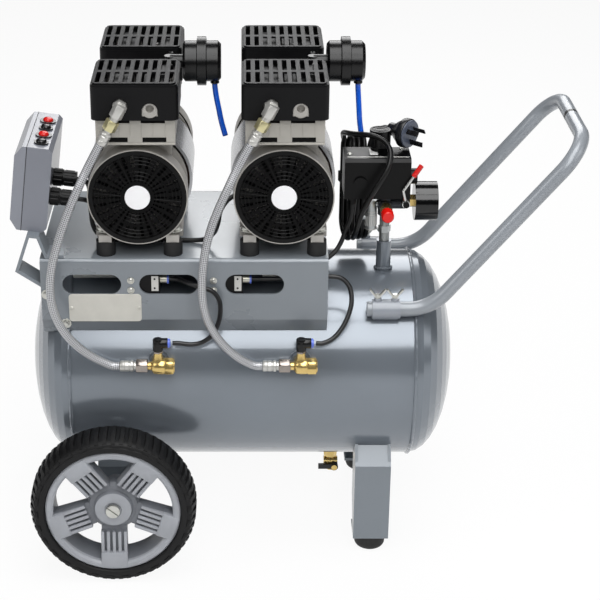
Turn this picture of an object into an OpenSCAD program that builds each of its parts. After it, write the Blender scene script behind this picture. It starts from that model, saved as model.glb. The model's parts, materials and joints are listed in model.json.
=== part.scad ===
// Portable twin-motor air compressor on a wheeled horizontal tank.
// Units: millimetres. +X runs along the tank towards the handle, +Y away from
// the side with the hoses and +Z is up. The origin is on the floor, under the
// middle of the whole machine.

/* [Tank] */
// Outer diameter of the pressure tank
tank_d = 275; // [265:1:285]
// Length of the tank's straight barrel, between its two weld seams
barrel_len = 442; // [430:1:460]
// Depth of each domed end
dome_depth = 58; // [50:1:66]
// Thickness of the tank's steel
tank_wall = 2.5; // [2:0.5:4]
// Height of the tank's lowest line above the floor
ground_clearance = 103.5; // [98:0.5:110]

/* [Motor deck] */
// Length of the saddle that carries the motors
deck_len = 360; // [350:1:365]
// Width of the saddle over its two skirts
deck_w = 240.8; // [236:0.4:246]
// Height of the saddle's top above the tank's highest line
deck_rise = 48; // [44:0.5:52]
// Thickness of the saddle's sheet
deck_t = 3; // [2:0.5:4]
// How far the saddle's middle lies from the tank's middle, towards the control box
deck_offset = 73; // [68:1:76]
// Width of each long slot in a skirt
slot_len = 73.6; // [60:0.4:76]
// Height of each long slot in a skirt
slot_h = 27; // [22:0.5:30]

/* [Motor units] */
// Distance between the two motor units
unit_pitch = 180; // [176:1:188]
// Outer diameter of a motor shell
motor_d = 132; // [126:1:134]
// Length of a motor shell
motor_len = 99.4; // [96:0.2:104]
// Height of the motor shaft above the saddle
shaft_rise = 80.6; // [78:0.2:86]
// Diameter of the motor shaft
shaft_d = 16; // [12:0.5:18]
// Diameter of a fan guard
guard_d = 122.8; // [118:0.2:124]
// Depth of a fan guard
guard_depth = 26; // [24:0.5:28]
// Diameter of a fan
fan_d = 104; // [96:1:106]
// Cylinder bore
bore_d = 60; // [56:0.5:62]
// Piston stroke
stroke = 12; // [8:0.5:12]
// Height of a rubber motor mount
mount_h = 18.6; // [16:0.2:20]
// Width of a head cover, across the shaft
cover_w = 105; // [100:0.5:107]
// Depth of a head cover, along the shaft
cover_depth = 105.2; // [104:0.2:108]
// Height of a head cover
cover_h = 45.6; // [44:0.2:50]
// Wall of a head cover
cover_wall = 2.5; // [2:0.1:3]
// Diameter of an air filter
filter_d = 51; // [46:0.5:54]
// Length of an air filter
filter_len = 47.6; // [44:0.2:50]

/* [Wheels and feet] */
// Outer diameter of a tyre
tyre_d = 213.6; // [208:0.4:216]
// Width of a tyre
tyre_w = 50; // [44:1:54]
// Outer diameter of a wheel rim
rim_d = 173.6; // [168:0.4:176]
// Diameter of a wheel axle
axle_d = 12; // [10:0.5:14]
// Distance between the middles of the two wheels
track = 350; // [346:1:358]
// Distance from the tank's middle to the axle
axle_x = 166.5; // [160:0.5:172]
// Distance from the tank's middle to the middle of the feet
leg_x = 171.5; // [160:0.5:176]
// Width of a leg
leg_w = 47.2; // [42:0.4:52]
// Distance over the front and rear legs
leg_span = 250; // [246:1:256]
// Diameter of a rubber foot
foot_d = 41; // [36:0.5:42]
// Height of a rubber foot below its leg
foot_h = 20.5; // [18:0.5:24]

/* [Handle] */
// Diameter of the handle tube
handle_d = 19; // [16:0.5:20]
// Wall of the handle tube
handle_wall = 1.8; // [1.2:0.1:2.5]
// Distance between the handle's two arms
handle_w = 208; // [200:1:214]
// Horizontal length of an arm before it turns up
handle_foot = 80; // [70:1:90]
// Sloping length of an arm, measured to the line of the crossbar
handle_rise = 285; // [250:1:300]
// Angle of the sloping arms above the horizontal
handle_angle = 50.5; // [44:0.5:54]
// Length of a clamp sleeve
clamp_len = 35.6; // [30:0.2:40]

/* [Control box] */
// Width of the control box
box_w = 46; // [42:0.5:50]
// Length of the control box, front to back
box_len = 134; // [128:1:140]
// Height of the control box
box_h = 110; // [104:0.5:116]
// Depth of the control box's lid
lid_depth = 14.5; // [12:0.5:18]
// Wall of the control box
box_wall = 2.5; // [2:0.1:3.5]
// Lean of the control box towards the motors
box_tilt = 7; // [3:0.5:9]
// Diameter of a push button
button_d = 13; // [10:0.5:15]

/* [Pressure set] */
// Length of the pressure switch, along the tank
switch_len = 83.4; // [80:0.2:86]
// Depth of the pressure switch, front to back
switch_depth = 50; // [48:0.5:52]
// Height of the pressure switch
switch_h = 53; // [50:0.5:56]
// Diameter of the gauge
gauge_d = 50; // [46:0.5:52]
// Depth of the gauge's case
gauge_depth = 29; // [26:0.5:32]
// Bore of the air outlet
outlet_bore = 7.6; // [6:0.1:8.4]

/* [Hoses and cables] */
// Diameter of a braided delivery hose
hose_d = 10.5; // [9:0.5:11]
// Diameter of a black unloader tube
unloader_d = 6; // [4:0.5:6.5]
// Diameter of a blue tube under a filter
blue_tube_d = 7; // [5:0.5:8]
// Diameter of a motor cable
cable_d = 6; // [5:0.5:7]
// Diameter of the mains lead
lead_d = 7; // [6:0.5:7.5]

/* [Hidden] */
$fn = 64;
// Radial clearance of a turning shaft, sliding fits and pieces that only touch
shaft_gap = 0.05;
slide_gap = 0.3;
touch = 0.02;

// Tank
tank_r = tank_d / 2;
tank_z = ground_clearance + tank_r;
tank_top = tank_z + tank_r;
// Depth (along Y) at which the tank's skin has the height z above its axis, and the reverse
function skin_z(y) = tank_z + sqrt(tank_r * tank_r - y * y);
function skin_y(z) = sqrt(tank_r * tank_r - (z - tank_z) * (z - tank_z));

// Deck
deck_z = tank_top + deck_rise;
deck_y = deck_w / 2;
deck_x = -deck_offset;
skirt_fold_z = tank_z + 103;
skirt_in = 11.4;
slot_z = deck_z - 34;
slot_xs = [deck_x - 116, deck_x - 19.8, deck_x + 88];

// Motor units
unit_xs = [deck_x + 33.8 - unit_pitch / 2, deck_x + 33.8 + unit_pitch / 2];
shaft_z = deck_z + shaft_rise;
shaft_r = shaft_d / 2;
motor_r = motor_d / 2;
motor_wall = 3.5;
rotor_r = 34;
air_gap = 0.5;
lamination_len = 60;
winding_len = 12;
base_z = deck_z + mount_h;
base_h = 12;
base_half = 54.4;
mount_x = 42;
mount_y = 99.6;
mount_d = 24;
case_y0 = motor_len / 2 + slide_gap;
case_y1 = case_y0 + 39;
case_half = 42;
case_wall = 5;
flange_t = 5;
bell_t = 4;
flange_r = guard_d / 2 - 1.4;
bore_r = bore_d / 2;
crank = stroke / 2;
eccentric_r = shaft_r + crank + 0.5;
big_end_r = eccentric_r + 2 * crank + 0.5;
big_end_wall = 5;
rod_t = 10;
cylinder_y = case_y0 + 27;
neck_z = shaft_z + guard_d / 2 + slide_gap;
block_z = neck_z + 9;
cover_z = block_z + 33;
head_z = cover_z - slide_gap;
crown_t = 10;
crown_z = head_z - stroke - crown_t - 1;
cover_top = cover_z + cover_h;
head_top = cover_top - cover_wall - 2.2;
head_half = 40;
fin_top = head_top - 4;
block_half = 47.5;
guard_y0 = case_y1 + slide_gap;
guard_y1 = guard_y0 + guard_depth;
guard_wall = 3;
fan_y0 = guard_y0 + 2.5;
fan_y1 = guard_y1 - guard_wall - 3.5;
fan_blades = 9;
intake_x = 38;
intake_r = 6;
link_r = 5;
intake_z = head_top - intake_r - 2;
filter_x = 54.5;
filter_z = intake_z + 2;
blue_x = 94.2;
blue_y = -6;
vent_pitch = 11;
vents_per_row = 9;
port_x = 18.5;
port_z = cover_z + 11.8;
port_r = 9.7;
boss_y1 = cover_depth / 2 - 1.5;

// Hose fittings at the heads, and check valves on the tank
fitting_x = -17;
fitting_z = cover_z + 18;
fitting_y = cylinder_y + cover_depth / 2 + 11.4;
fitting_angle = 62;
fitting_len = 48.9;
valve_dx = 22.7;
valve_xs = [for (x = unit_xs) x + valve_dx];
valve_z = tank_z + 51;
valve_y = 147.5;
boss_y = 137;

// Wheels, legs and axles
axle_z = tyre_d / 2;
axle_r = axle_d / 2;
rim_r = rim_d / 2;
wheel_y = track / 2;
leg_y = leg_span / 2;
leg_t = 4;
leg_bend_z = tank_z - 109;
leg_weld_y = 106;
flange_depth = 45;

// Handle
handle_r = handle_d / 2;
arm_y = handle_w / 2;
arm_gap = 4.4;
arm_z = tank_z + sqrt(pow(tank_r + arm_gap + handle_r, 2) - arm_y * arm_y);
arm_x0 = barrel_len / 2 - 63;
knee_x = arm_x0 + handle_foot;
knee_r = 60;
corner_r = 45;
clamp_x = barrel_len / 2 - 39;
clamp_wall = 2.8;
bar_x = knee_x + handle_rise * cos(handle_angle);
bar_z = arm_z + handle_rise * sin(handle_angle);
handle_travel = 20;

// Control box: its own frame has its origin under the middle of its front end
box_pos = [-267.6, -105, deck_z + 32.3];
box_chamfer = 13;
button_row_x = 7;
button_pitch = 27;
button_y0 = 20;
button_travel = 2.5;
button_up = 3.6;
bezel_h = 2;
gland_y = [13, 41];
gland_z = [45, 60];
gland_d = 22;
gland_len = 30;
gland_stem_r = 7;

// Pressure set
riser_x = 183;
riser_y = -28;
switch_x = 169.7;
switch_z = tank_top + 104;
switch_y0 = -58;
switch_wall = 2.5;
base_plate_t = 4;
lead_gland = [141, -18];
cable_gland = [139, -45];
lead_stem_r = 5;
switch_mid_y = switch_y0 + switch_depth / 2;
knob_x = 174;
knob_y = -20;
knob_d = 27;
knob_travel = 6;
manifold_z = switch_z - 16;
manifold_r = 8;
coupler_x = 165;
coupler_d = 15;
coupler_len = 36;
manifold_x0 = 173;
manifold_x1 = 208;
gauge_x = 219.6;
gauge_wall = 2;
safety_z = manifold_z - 3;
gauge_z = manifold_z + 2.5;
needle_r = 17;
lever_hub = [206, switch_y0 - 4, switch_z - 4.5];
lever_line = [[0, 0], [-4, 17], [17.5, 51]];
lever_r = 1.8;
sleeve_r = 3.2;
sleeve_len = 17;
pin_r = 2.5;
socket_top = tank_top + 36.5;
drain_x = 122;
boss_z = ground_clearance - 15.5;
riser_r = 6.3;
capacitor_r = 20;
drain_pivot = [127, -13, ground_clearance - 36];

// Leftmost and rightmost points, which set the middle of the machine
box_corner_x = box_pos[0] - box_w / 2 * cos(box_tilt) + box_chamfer * sin(box_tilt);
middle_x = (box_corner_x + bar_x + handle_r) / 2;

// Routes of the hoses, tubes and cables, relative to the tank's middle
route_hose_left = [[-170, -141, 586], [-178, -141, 571], [-188, -144, 552], [-198, -151, 532],
    [-208, -154, 510], [-217, -157, 487], [-225, -159, 463], [-232, -160, 438],
    [-236, -160, 412], [-236, -159, 387], [-231, -157, 363], [-221, -155, 341],
    [-206, -152, 321], [-188, -149, 305], [-171, -147.5, 295], [-163, -147.5, 292],
    [-155, -147.5, 292]];
route_hose_right = [[10, -141, 586], [2, -141, 571], [-8, -144, 552], [-18, -151, 532],
    [-28, -154, 510], [-37, -157, 487], [-44, -159, 462], [-48, -160, 436],
    [-50, -160, 410], [-49, -159, 385], [-44, -157, 361], [-34, -155, 339],
    [-20, -152, 319], [-5, -149, 304], [9, -147.5, 295], [17, -147.5, 292],
    [25, -147.5, 292]];
route_unloader_left = [[-88, -147.5, 324], [-80, -147.5, 324], [-64, -147, 322],
    [-50, -146, 325], [-38, -144, 334], [-31, -140, 347], [-28, -136, 361], [-29, -133, 375],
    [-36, -130, 386], [-47, -128.5, 391], [-58, -126.5, 393.5], [-67, -120.5, 394],
    [-75, -113, 394], [-82, -107.5, 394], [-88, -106, 394], [-94, -106, 394]];
route_unloader_right = [[92, -147.5, 324], [101, -147.5, 324], [114, -143, 329], [125, -136, 340],
    [133, -128, 354], [137, -120, 369], [135, -112, 384], [126, -107, 394],
    [112, -106, 397], [90, -106, 396], [60, -106, 395], [35, -106, 394], [20, -106, 394],
    [10, -106, 394]];
blue_left = [[-35, -6, 625], [-35, -6, 615], [-33, -7, 600], [-30, -9, 585], [-27, -11, 570],
    [-22, -14, 552]];
blue_right = [[145, -6, 625], [145, -6, 615], [146, -8, 600], [147, -11, 585], [148, -13, 571],
    [150, -16, 557]];
cable_left = [[-215.5, -92, 497.7], [-203, -92, 496.2], [-197, -90, 494.5], [-193, -84, 491],
    [-190.5, -76, 488], [-186.5, -68, 485], [-181, -62, 483], [-179, -58, 483], [-179, -54, 483]];
cable_right = [[-213.5, -64, 512.6], [-200.5, -64, 511], [-195, -64, 507], [-192.5, -64, 499],
    [-192, -64, 485], [-191.5, -64, 466], [-189.5, -64, 449], [-183, -64, 437],
    [-171, -64, 430.5], [-156, -64, 430], [-130, -64, 430], [-95, -64, 430], [-60, -66, 430],
    [-46, -70, 434], [-36, -74, 444], [-31, -77, 458], [-28, -78, 474], [-20, -76, 487],
    [-10, -71, 493], [-4, -65, 495], [-3, -60, 495], [-3, -54, 495]];
cable_switch = [[139, -45, 474], [139, -45, 464], [137, -45, 450], [132, -46, 436],
    [127, -49, 422], [120, -54, 411], [110, -61, 404], [101, -66, 403], [94, -66, 403]];
lead_to_hank = [[141, -18, 466], [141, -19, 455], [141, -24, 441], [141, -34, 431],
    [141, -46, 427], [141, -59, 431], [143, -69, 442], [146, -74, 457], [151, -76, 474],
    [159, -76, 491], [168, -76, 507], [177, -74, 522], [183, -68, 536], [184, -58, 547],
    [179, -47, 554], [170, -40, 558], [161, -35, 559.5], [151, -30, 559], [142.5, -23, 557],
    [136, -13, 554.5], [132, -2, 551.5], [130, 9, 548], [129.6, 20, 543], [130.6, 29.5, 536.5]];
lead_to_plug = [[162.6, 4.4, 518], [163, 4.5, 527], [164.5, 5, 536.5], [168.5, 6, 545.5],
    [174.7, 6.6, 552.7], [181.6, 4.2, 556.4], [187.2, -0.7, 557]];

// Mains lead and plug
hank_x = 147;
hank_y = 22;
hank_z = 469;
hank_turn = -75;
hank_r = 21;
hank_h = 147;
hank_turns = 4;
plug_r = 19;
plug_face = [212, -23, 557];
plug_turn = -42;

// Moves a piece from the tank's own middle to the middle of the whole machine
module place() translate([-middle_x, 0, 0]) children();

// Extrudes a Y-Z outline along X, and an X-Z outline along Y
module along_x(x0, len) translate([x0, 0, 0]) rotate([90, 0, 90]) linear_extrude(len) children();
module along_y(y0, len) translate([0, y0 + len, 0]) rotate([90, 0, 0]) linear_extrude(len) children();

// A rod along X or Y from a starting point
module rod_x(p, r, len, fn = 48) translate(p) rotate([0, 90, 0]) cylinder(r = r, h = len, $fn = fn);
module rod_y(p, r, len, fn = 48) translate(p) rotate([-90, 0, 0]) cylinder(r = r, h = len, $fn = fn);

// A block given by its lower and upper corners
module block(a, b) translate(a) cube(b - a);

// A rectangle with round corners, built from squares and circles
module round_rect(w, h, r) {
    square([w - 2 * r, h], center = true);
    square([w, h - 2 * r], center = true);
    for (x = [-1, 1], y = [-1, 1])
        translate([x * (w / 2 - r), y * (h / 2 - r)]) circle(r, $fn = 32);
}

// A slot with round ends
module stadium(w, h) {
    square([w - h, h], center = true);
    for (x = [-1, 1]) translate([x * (w - h) / 2, 0]) circle(h / 2, $fn = 32);
}

// The same piece on the front and on the rear side
module both_sides() {
    children();
    mirror([0, 1, 0]) children();
}

// The same piece on both motor units
module both_units() for (x = unit_xs) translate([x, 0, 0]) children();

// A tube of round section through the points of a route
function unit(v) = v / norm(v);
function heading(p, i) = unit(p[min(i + 1, len(p) - 1)] - p[max(i - 1, 0)]);
function square_to(n, t) = unit(n - (n * t) * t);
function sides_along(p, i, n) = i == len(p) ? [] :
    let (m = square_to(n, heading(p, i))) concat([m], sides_along(p, i + 1, m));
module tube(p, d, sides = 8) {
    n = sides_along(p, 0, square_to([0.3, 1, 0.2], heading(p, 0)));
    rings = len(p);
    points = [for (i = [0:rings - 1], k = [0:sides - 1])
        let (a = 360 * k / sides, t = heading(p, i))
        p[i] + d / 2 * (cos(a) * n[i] + sin(a) * cross(t, n[i]))];
    walls = [for (i = [0:rings - 2], k = [0:sides - 1], half = [0, 1])
        let (a = i * sides + k, b = i * sides + (k + 1) % sides)
        half == 0 ? [a, a + sides, b] : [b, a + sides, b + sides]];
    first = [[for (k = [0:sides - 1]) k]];
    last = [[for (k = [sides - 1:-1:0]) (rings - 1) * sides + k]];
    polyhedron(points = points, faces = concat(walls, first, last));
}

// ---------------------------------------------------------------- tank

// A closed vessel body of the tank's form, with its radius and dome depth given
module vessel(r, depth) {
    half = barrel_len / 2;
    steps = 9;
    rotate([0, 90, 0]) rotate_extrude($fn = 96)
        polygon(concat(
            [for (i = [steps:-1:0]) let (a = 90 * i / steps) [r * cos(a), -half - depth * sin(a)]],
            [for (i = [0:steps]) let (a = 90 * i / steps) [r * cos(a), half + depth * sin(a)]]));
}

// What a bracket has to leave free for the tank it is welded to
module tank_space() rod_x([-barrel_len / 2 - 20, 0, tank_z], tank_r + touch, barrel_len + 40, 96);

module tank_shell() color([0.62, 0.64, 0.68]) place() difference() {
    union() {
        translate([0, 0, tank_z]) vessel(tank_r, dome_depth);
        translate([riser_x, riser_y, tank_z]) cylinder(d = 19, h = socket_top - tank_z, $fn = 40);
        for (x = valve_xs) rod_y([x, -boss_y, valve_z], 12, boss_y, 40);
        translate([drain_x, 0, boss_z]) cylinder(d = 18.4, h = 60, $fn = 40);
    }
    translate([0, 0, tank_z]) vessel(tank_r - tank_wall, dome_depth - tank_wall);
    translate([riser_x, riser_y, tank_z]) cylinder(r = riser_r + shaft_gap, h = 200, $fn = 40);
    for (x = valve_xs) rod_y([x, -boss_y - 1, valve_z], 6.5 + shaft_gap, 30, 40);
    translate([drain_x, 0, ground_clearance - 20]) cylinder(r = 5 + shaft_gap, h = 60, $fn = 40);
}

// Half of the saddle's section: top sheet, skirt and the strip that meets the tank
module deck_section() {
    bend = 6;
    foot_y = deck_y - skirt_in;
    foot_z = skin_z(foot_y) - 3;
    difference() {
        union() {
            polygon([[0, deck_z], [0, skirt_fold_z], [deck_y, skirt_fold_z], [deck_y, deck_z - bend],
                for (a = [15:15:75]) [deck_y - bend + bend * cos(a), deck_z - bend + bend * sin(a)],
                [deck_y - bend, deck_z]]);
            polygon([[deck_y, skirt_fold_z], [foot_y, foot_z], [0, foot_z], [0, skirt_fold_z]]);
        }
        polygon([[-1, deck_z - deck_t], [-1, skirt_fold_z + 1], [deck_y - deck_t, skirt_fold_z + 1],
            [deck_y - deck_t, deck_z - bend],
            for (a = [15:15:75]) [deck_y - bend + (bend - deck_t) * cos(a),
                deck_z - bend + (bend - deck_t) * sin(a)],
            [deck_y - bend, deck_z - deck_t]]);
        polygon([[deck_y - deck_t, skirt_fold_z + 1.01], [foot_y - deck_t, foot_z - 1],
            [-1, foot_z - 1], [-1, skirt_fold_z + 1.01]]);
    }
}

module motor_deck() color([0.60, 0.62, 0.66]) place() difference() {
    both_sides() along_x(deck_x - deck_len / 2, deck_len) deck_section();
    tank_space();
    for (x = slot_xs) along_y(-deck_w, 2 * deck_w) translate([x, slot_z]) stadium(slot_len, slot_h);
    both_units() both_sides() for (x = [-mount_x, mount_x])
        translate([x, mount_y, deck_z - 10]) cylinder(r = 4 + slide_gap, h = 20, $fn = 24);
}

// Outline, in Y and Z, of one folded plate that stands off the tank
module leg_profile(foot_z) {
    weld_z = tank_z - sqrt(tank_r * tank_r - leg_weld_y * leg_weld_y);
    polygon([[leg_y, foot_z], [leg_y, leg_bend_z], [leg_weld_y - 6, weld_z + 9],
        [leg_weld_y - 12, weld_z + 5], [leg_y - leg_t, leg_bend_z - 2], [leg_y - leg_t, foot_z]]);
}

// Side flange of a leg, which narrows towards its lower end
module leg_flange(foot_z) polygon([[leg_y - 1, foot_z], [leg_y - 12, foot_z],
    [leg_y - flange_depth, foot_z + 45], [leg_y - flange_depth, tank_z - 60],
    [leg_y - 25, tank_z - 70], [leg_y - 1, leg_bend_z]]);

module folded_leg(x, foot_z) difference() {
    union() {
        along_x(x - leg_w / 2, leg_w) leg_profile(foot_z);
        for (s = [0, 1]) along_x(x - leg_w / 2 + s * (leg_w - leg_t), leg_t) leg_flange(foot_z);
    }
    tank_space();
}

module wheel_brackets() color([0.60, 0.62, 0.66]) place() both_sides() difference() {
    folded_leg(-axle_x, axle_z - 24);
    rod_y([-axle_x, leg_y - 20, axle_z], axle_r + shaft_gap, 40);
}

module leg_brackets() color([0.60, 0.62, 0.66]) place() both_sides() difference() {
    union() {
        folded_leg(leg_x, foot_h);
        block([leg_x - leg_w / 2, leg_y - foot_d - 2, foot_h], [leg_x + leg_w / 2, leg_y, foot_h + leg_t]);
    }
    translate([leg_x, leg_y - foot_d / 2, foot_h - 1]) cylinder(r = 4 + slide_gap, h = 10, $fn = 24);
}

module rubber_feet() color([0.06, 0.06, 0.06]) place() both_sides()
    translate([leg_x, leg_y - foot_d / 2, 0]) {
        rotate_extrude($fn = 48) polygon([[0, 0], [foot_d / 2 - 8, 0],
            for (a = [-75:15:0]) [foot_d / 2 - 8 + 8 * cos(a), 8 + 8 * sin(a)],
            [foot_d / 2, foot_h - touch], [0, foot_h - touch]]);
        translate([0, 0, foot_h - 1]) cylinder(r = 4, h = 10, $fn = 24);
    }

module motor_mounts() color([0.08, 0.08, 0.08]) place() both_units() both_sides()
    for (x = [-mount_x, mount_x]) translate([x, mount_y, 0]) {
        translate([0, 0, deck_z]) cylinder(d = mount_d, h = mount_h, $fn = 40);
        translate([0, 0, deck_z - 9]) cylinder(r = 4, h = mount_h + 18, $fn = 24);
    }

// ---------------------------------------------------------------- wheels

module axle_bolts() color([0.75, 0.75, 0.72]) place() both_sides() translate([-axle_x, 0, axle_z]) {
    rod_y([0, leg_y - 16, 0], axle_r, wheel_y + 18 - leg_y + 16);
    rod_y([0, leg_y - 14, 0], 11, 14 - leg_t - touch, 6);
    difference() {
        rod_y([0, wheel_y + 18, 0], 9, 4);
        translate([0, wheel_y + 21.5, 0]) rotate([0, 40, 0]) cube([20, 2, 1.6], center = true);
    }
}

// Section of a tyre, from its bead to its tread
module tyre_section() {
    half = tyre_w / 2;
    r = tyre_d / 2;
    polygon([[rim_r + shaft_gap, -half + 3], [rim_r + 6, -half], [r - 11, -half], [r - 4, -half + 3],
        [r - 1.5, -half + 8], [r, -half + 15], [r, half - 15], [r - 1.5, half - 8],
        [r - 4, half - 3], [r - 11, half], [rim_r + 6, half], [rim_r + shaft_gap, half - 3]]);
}

module tyre(side) place() translate([-axle_x, side * wheel_y, axle_z])
    rotate([90, 0, 0]) rotate_extrude($fn = 96) tyre_section();

// A moulded wheel: rim, five spokes and a hub that reaches in to the leg
module rim(side) place() translate([-axle_x, 0, axle_z]) mirror([0, side < 0 ? 1 : 0, 0])
    difference() {
        union() {
            translate([0, wheel_y, 0]) rotate([90, 0, 0]) rotate_extrude($fn = 96)
                polygon([[rim_r - 10, -23], [rim_r, -23], [rim_r, 22], [rim_r - 10, 22]]);
            rod_y([0, leg_y + slide_gap, 0], 15, wheel_y - leg_y);
            rod_y([0, wheel_y - 12, 0], 26, 30 - slide_gap);
            for (k = [0:4]) rotate([0, 72 * k, 0])
                block([-16, wheel_y - 8, -rim_r + 5], [16, wheel_y + 16, -20]);
        }
        rod_y([0, 0, 0], axle_r + shaft_gap, 2 * wheel_y);
    }

module front_tyre() color([0.05, 0.05, 0.05]) tyre(-1);
module rear_tyre() color([0.05, 0.05, 0.05]) tyre(1);
module front_rim() color([0.55, 0.56, 0.58]) rim(-1);
module rear_rim() color([0.55, 0.56, 0.58]) rim(1);

// ---------------------------------------------------------------- handle

// Half of the handle's centre line, drawn with a round bar of radius r
module handle_half(r) {
    knee_cut = knee_r * tan(handle_angle / 2);
    foot_run = handle_foot - knee_cut;
    slope_run = handle_rise - knee_cut - corner_r;
    translate([arm_x0, -arm_y, arm_z]) {
        rod_x([0, 0, 0], r, foot_run);
        translate([foot_run, 0, 0]) {
            translate([0, 0, knee_r]) rotate([90, 0, 0]) rotate([0, 0, -90])
                rotate_extrude(angle = handle_angle, $fn = 48) translate([knee_r, 0]) circle(r);
            translate([knee_r * sin(handle_angle), 0, knee_r * (1 - cos(handle_angle))])
                rotate([0, -handle_angle, 0]) {
                    rod_x([0, 0, 0], r, slope_run);
                    translate([slope_run, 0, 0]) {
                        translate([0, corner_r, 0]) rotate([0, 0, -90])
                            rotate_extrude(angle = 90, $fn = 48) translate([corner_r, 0]) circle(r);
                        rod_y([corner_r, corner_r, 0], r, arm_y - corner_r + 1);
                    }
                }
        }
    }
}

module handle_tube() color([0.60, 0.62, 0.66]) place() difference() {
    both_sides() handle_half(handle_r);
    both_sides() handle_half(handle_r - handle_wall);
    for (y = [-arm_y, arm_y]) rod_x([arm_x0 - 1, y, arm_z], handle_r - handle_wall, 10);
}

// The welded sleeve, its saddle on the tank, and two wing screws in threaded bosses
module handle_clamps() color([0.60, 0.62, 0.66]) place() both_sides() {
    sleeve_r = handle_r + clamp_wall;
    lean = atan2(arm_z - tank_z, arm_y);
    screw_xs = [clamp_x - 11, clamp_x + 11];
    difference() {
        union() {
            rod_x([clamp_x - clamp_len / 2, arm_y, arm_z], sleeve_r, clamp_len);
            translate([0, 0, tank_z]) rotate([lean, 0, 0])
                block([clamp_x - clamp_len / 2 + 2, tank_r - 4, -9],
                    [clamp_x + clamp_len / 2 - 2, tank_r + arm_gap + 6, 9]);
            for (x = screw_xs) translate([x, arm_y, arm_z]) cylinder(r = 5, h = sleeve_r + 3, $fn = 24);
        }
        tank_space();
        rod_x([clamp_x - clamp_len, arm_y, arm_z], handle_r + shaft_gap, 2 * clamp_len);
        for (x = screw_xs) translate([x, arm_y, arm_z]) cylinder(r = 3 + shaft_gap, h = 40, $fn = 24);
    }
    for (x = screw_xs) translate([x, arm_y, arm_z + handle_r + slide_gap]) {
        cylinder(r = 3, h = 11, $fn = 24);
        for (s = [-1, 1]) translate([0, 0, 5]) rotate([0, 38 * s, 0])
            block([-1, -2.5, 1.8], [1, 2.5, 16]);
    }
}

// ---------------------------------------------------------------- control box

// The box's own frame: x across, y from its front, z up from its underside
module in_box() place() translate(box_pos) rotate([0, box_tilt, 0]) children();

module control_box_base() in_box() {
    x0 = -box_w / 2 + lid_depth;
    x1 = box_w / 2;
    edge = 5;
    color([0.60, 0.62, 0.66]) difference() {
        along_y(0, box_len) polygon([[x0, 0], [x1 - edge, 0], [x1, edge], [x1, box_h - edge],
            [x1 - edge, box_h], [x0, box_h]]);
        block([x0 - 1, box_wall, box_wall], [x1 - box_wall, box_len - box_wall, box_h - box_wall]);
        for (i = [0:3]) translate([button_row_x, button_y0 + i * button_pitch, box_h - 10])
            cylinder(r = button_d / 2 + slide_gap, h = 20, $fn = 32);
        for (i = [0, 1]) rod_x([x1 - 10, gland_y[i], gland_z[i]], gland_stem_r + shaft_gap, 20);
    }
    color([0.07, 0.07, 0.07]) for (i = [0:3])
        translate([button_row_x, button_y0 + i * button_pitch, box_h - touch]) difference() {
            cylinder(d = i % 2 == 0 ? button_d + 5 : button_d + 7.5, h = bezel_h + touch, $fn = 40);
            translate([0, 0, -1]) cylinder(r = button_d / 2 + slide_gap, h = 10, $fn = 32);
        }
}

module control_box_lid() color([0.62, 0.64, 0.68]) in_box() difference() {
    x0 = -box_w / 2;
    x1 = x0 + lid_depth;
    c = box_chamfer;
    along_y(0, box_len) polygon([[x1, 0], [x0 + c * 0.7, 0], [x0, c], [x0, box_h - c],
        [x0 + c * 0.7, box_h], [x1, box_h]]);
    along_y(box_wall, box_len - 2 * box_wall) polygon([[x1 + 1, box_wall], [x0 + c * 0.8, box_wall],
        [x0 + box_wall, c + 1], [x0 + box_wall, box_h - c - 1], [x0 + c * 0.8, box_h - box_wall],
        [x1 + 1, box_h - box_wall]]);
}

// A push button: cap, stem through the wall and a collar that holds it in
module push_button(i, rgb) color(rgb) in_box()
    translate([button_row_x, button_y0 + i * button_pitch, box_h - box_wall]) {
        translate([0, 0, -3]) cylinder(r = button_d / 2, h = box_wall + 3 + button_up, $fn = 32);
        translate([0, 0, -5]) cylinder(r = button_d / 2 + 1.5, h = 5 - slide_gap, $fn = 32);
    }
module black_button_1() push_button(0, [0.06, 0.06, 0.06]);
module red_button_1() push_button(1, [0.75, 0.08, 0.07]);
module black_button_2() push_button(2, [0.06, 0.06, 0.06]);
module red_button_2() push_button(3, [0.75, 0.08, 0.07]);

// Bent strip of a given line, in X and Z, with the strip's width along Y
function turned(v) = [-v[1], v[0]];
function miter(p, i) =
    let (a = turned(unit(p[max(i, 1)] - p[max(i, 1) - 1])),
        b = turned(unit(p[min(i + 1, len(p) - 1)] - p[min(i, len(p) - 2)])), n = unit(a + b))
    n / (n * a);
module strip(p, y0, w, t) along_y(y0, w) polygon(concat(
    [for (i = [0:len(p) - 1]) p[i] + t / 2 * miter(p, i)],
    [for (i = [len(p) - 1:-1:0]) p[i] - t / 2 * miter(p, i)]));

// A point below the control box, at the distance s from its middle and d from its face
function under_box(s, d) = [box_pos[0] + s * cos(box_tilt) - d * sin(box_tilt),
    box_pos[2] - s * sin(box_tilt) - d * cos(box_tilt)];

module box_bracket() color([0.56, 0.58, 0.62]) place() {
    y0 = -deck_y + deck_t + touch;
    w = 34;
    t = 4;
    end_x = deck_x - deck_len / 2;
    top_z = deck_z + t / 2 + touch;
    strip([[end_x + 14, slot_z - 12], [end_x - 29, slot_z + 17], under_box(2, t / 2 + touch), under_box(14, t / 2 + touch),
        [end_x + 8, top_z], [end_x + 30, top_z]], y0, w, t);
}

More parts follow.
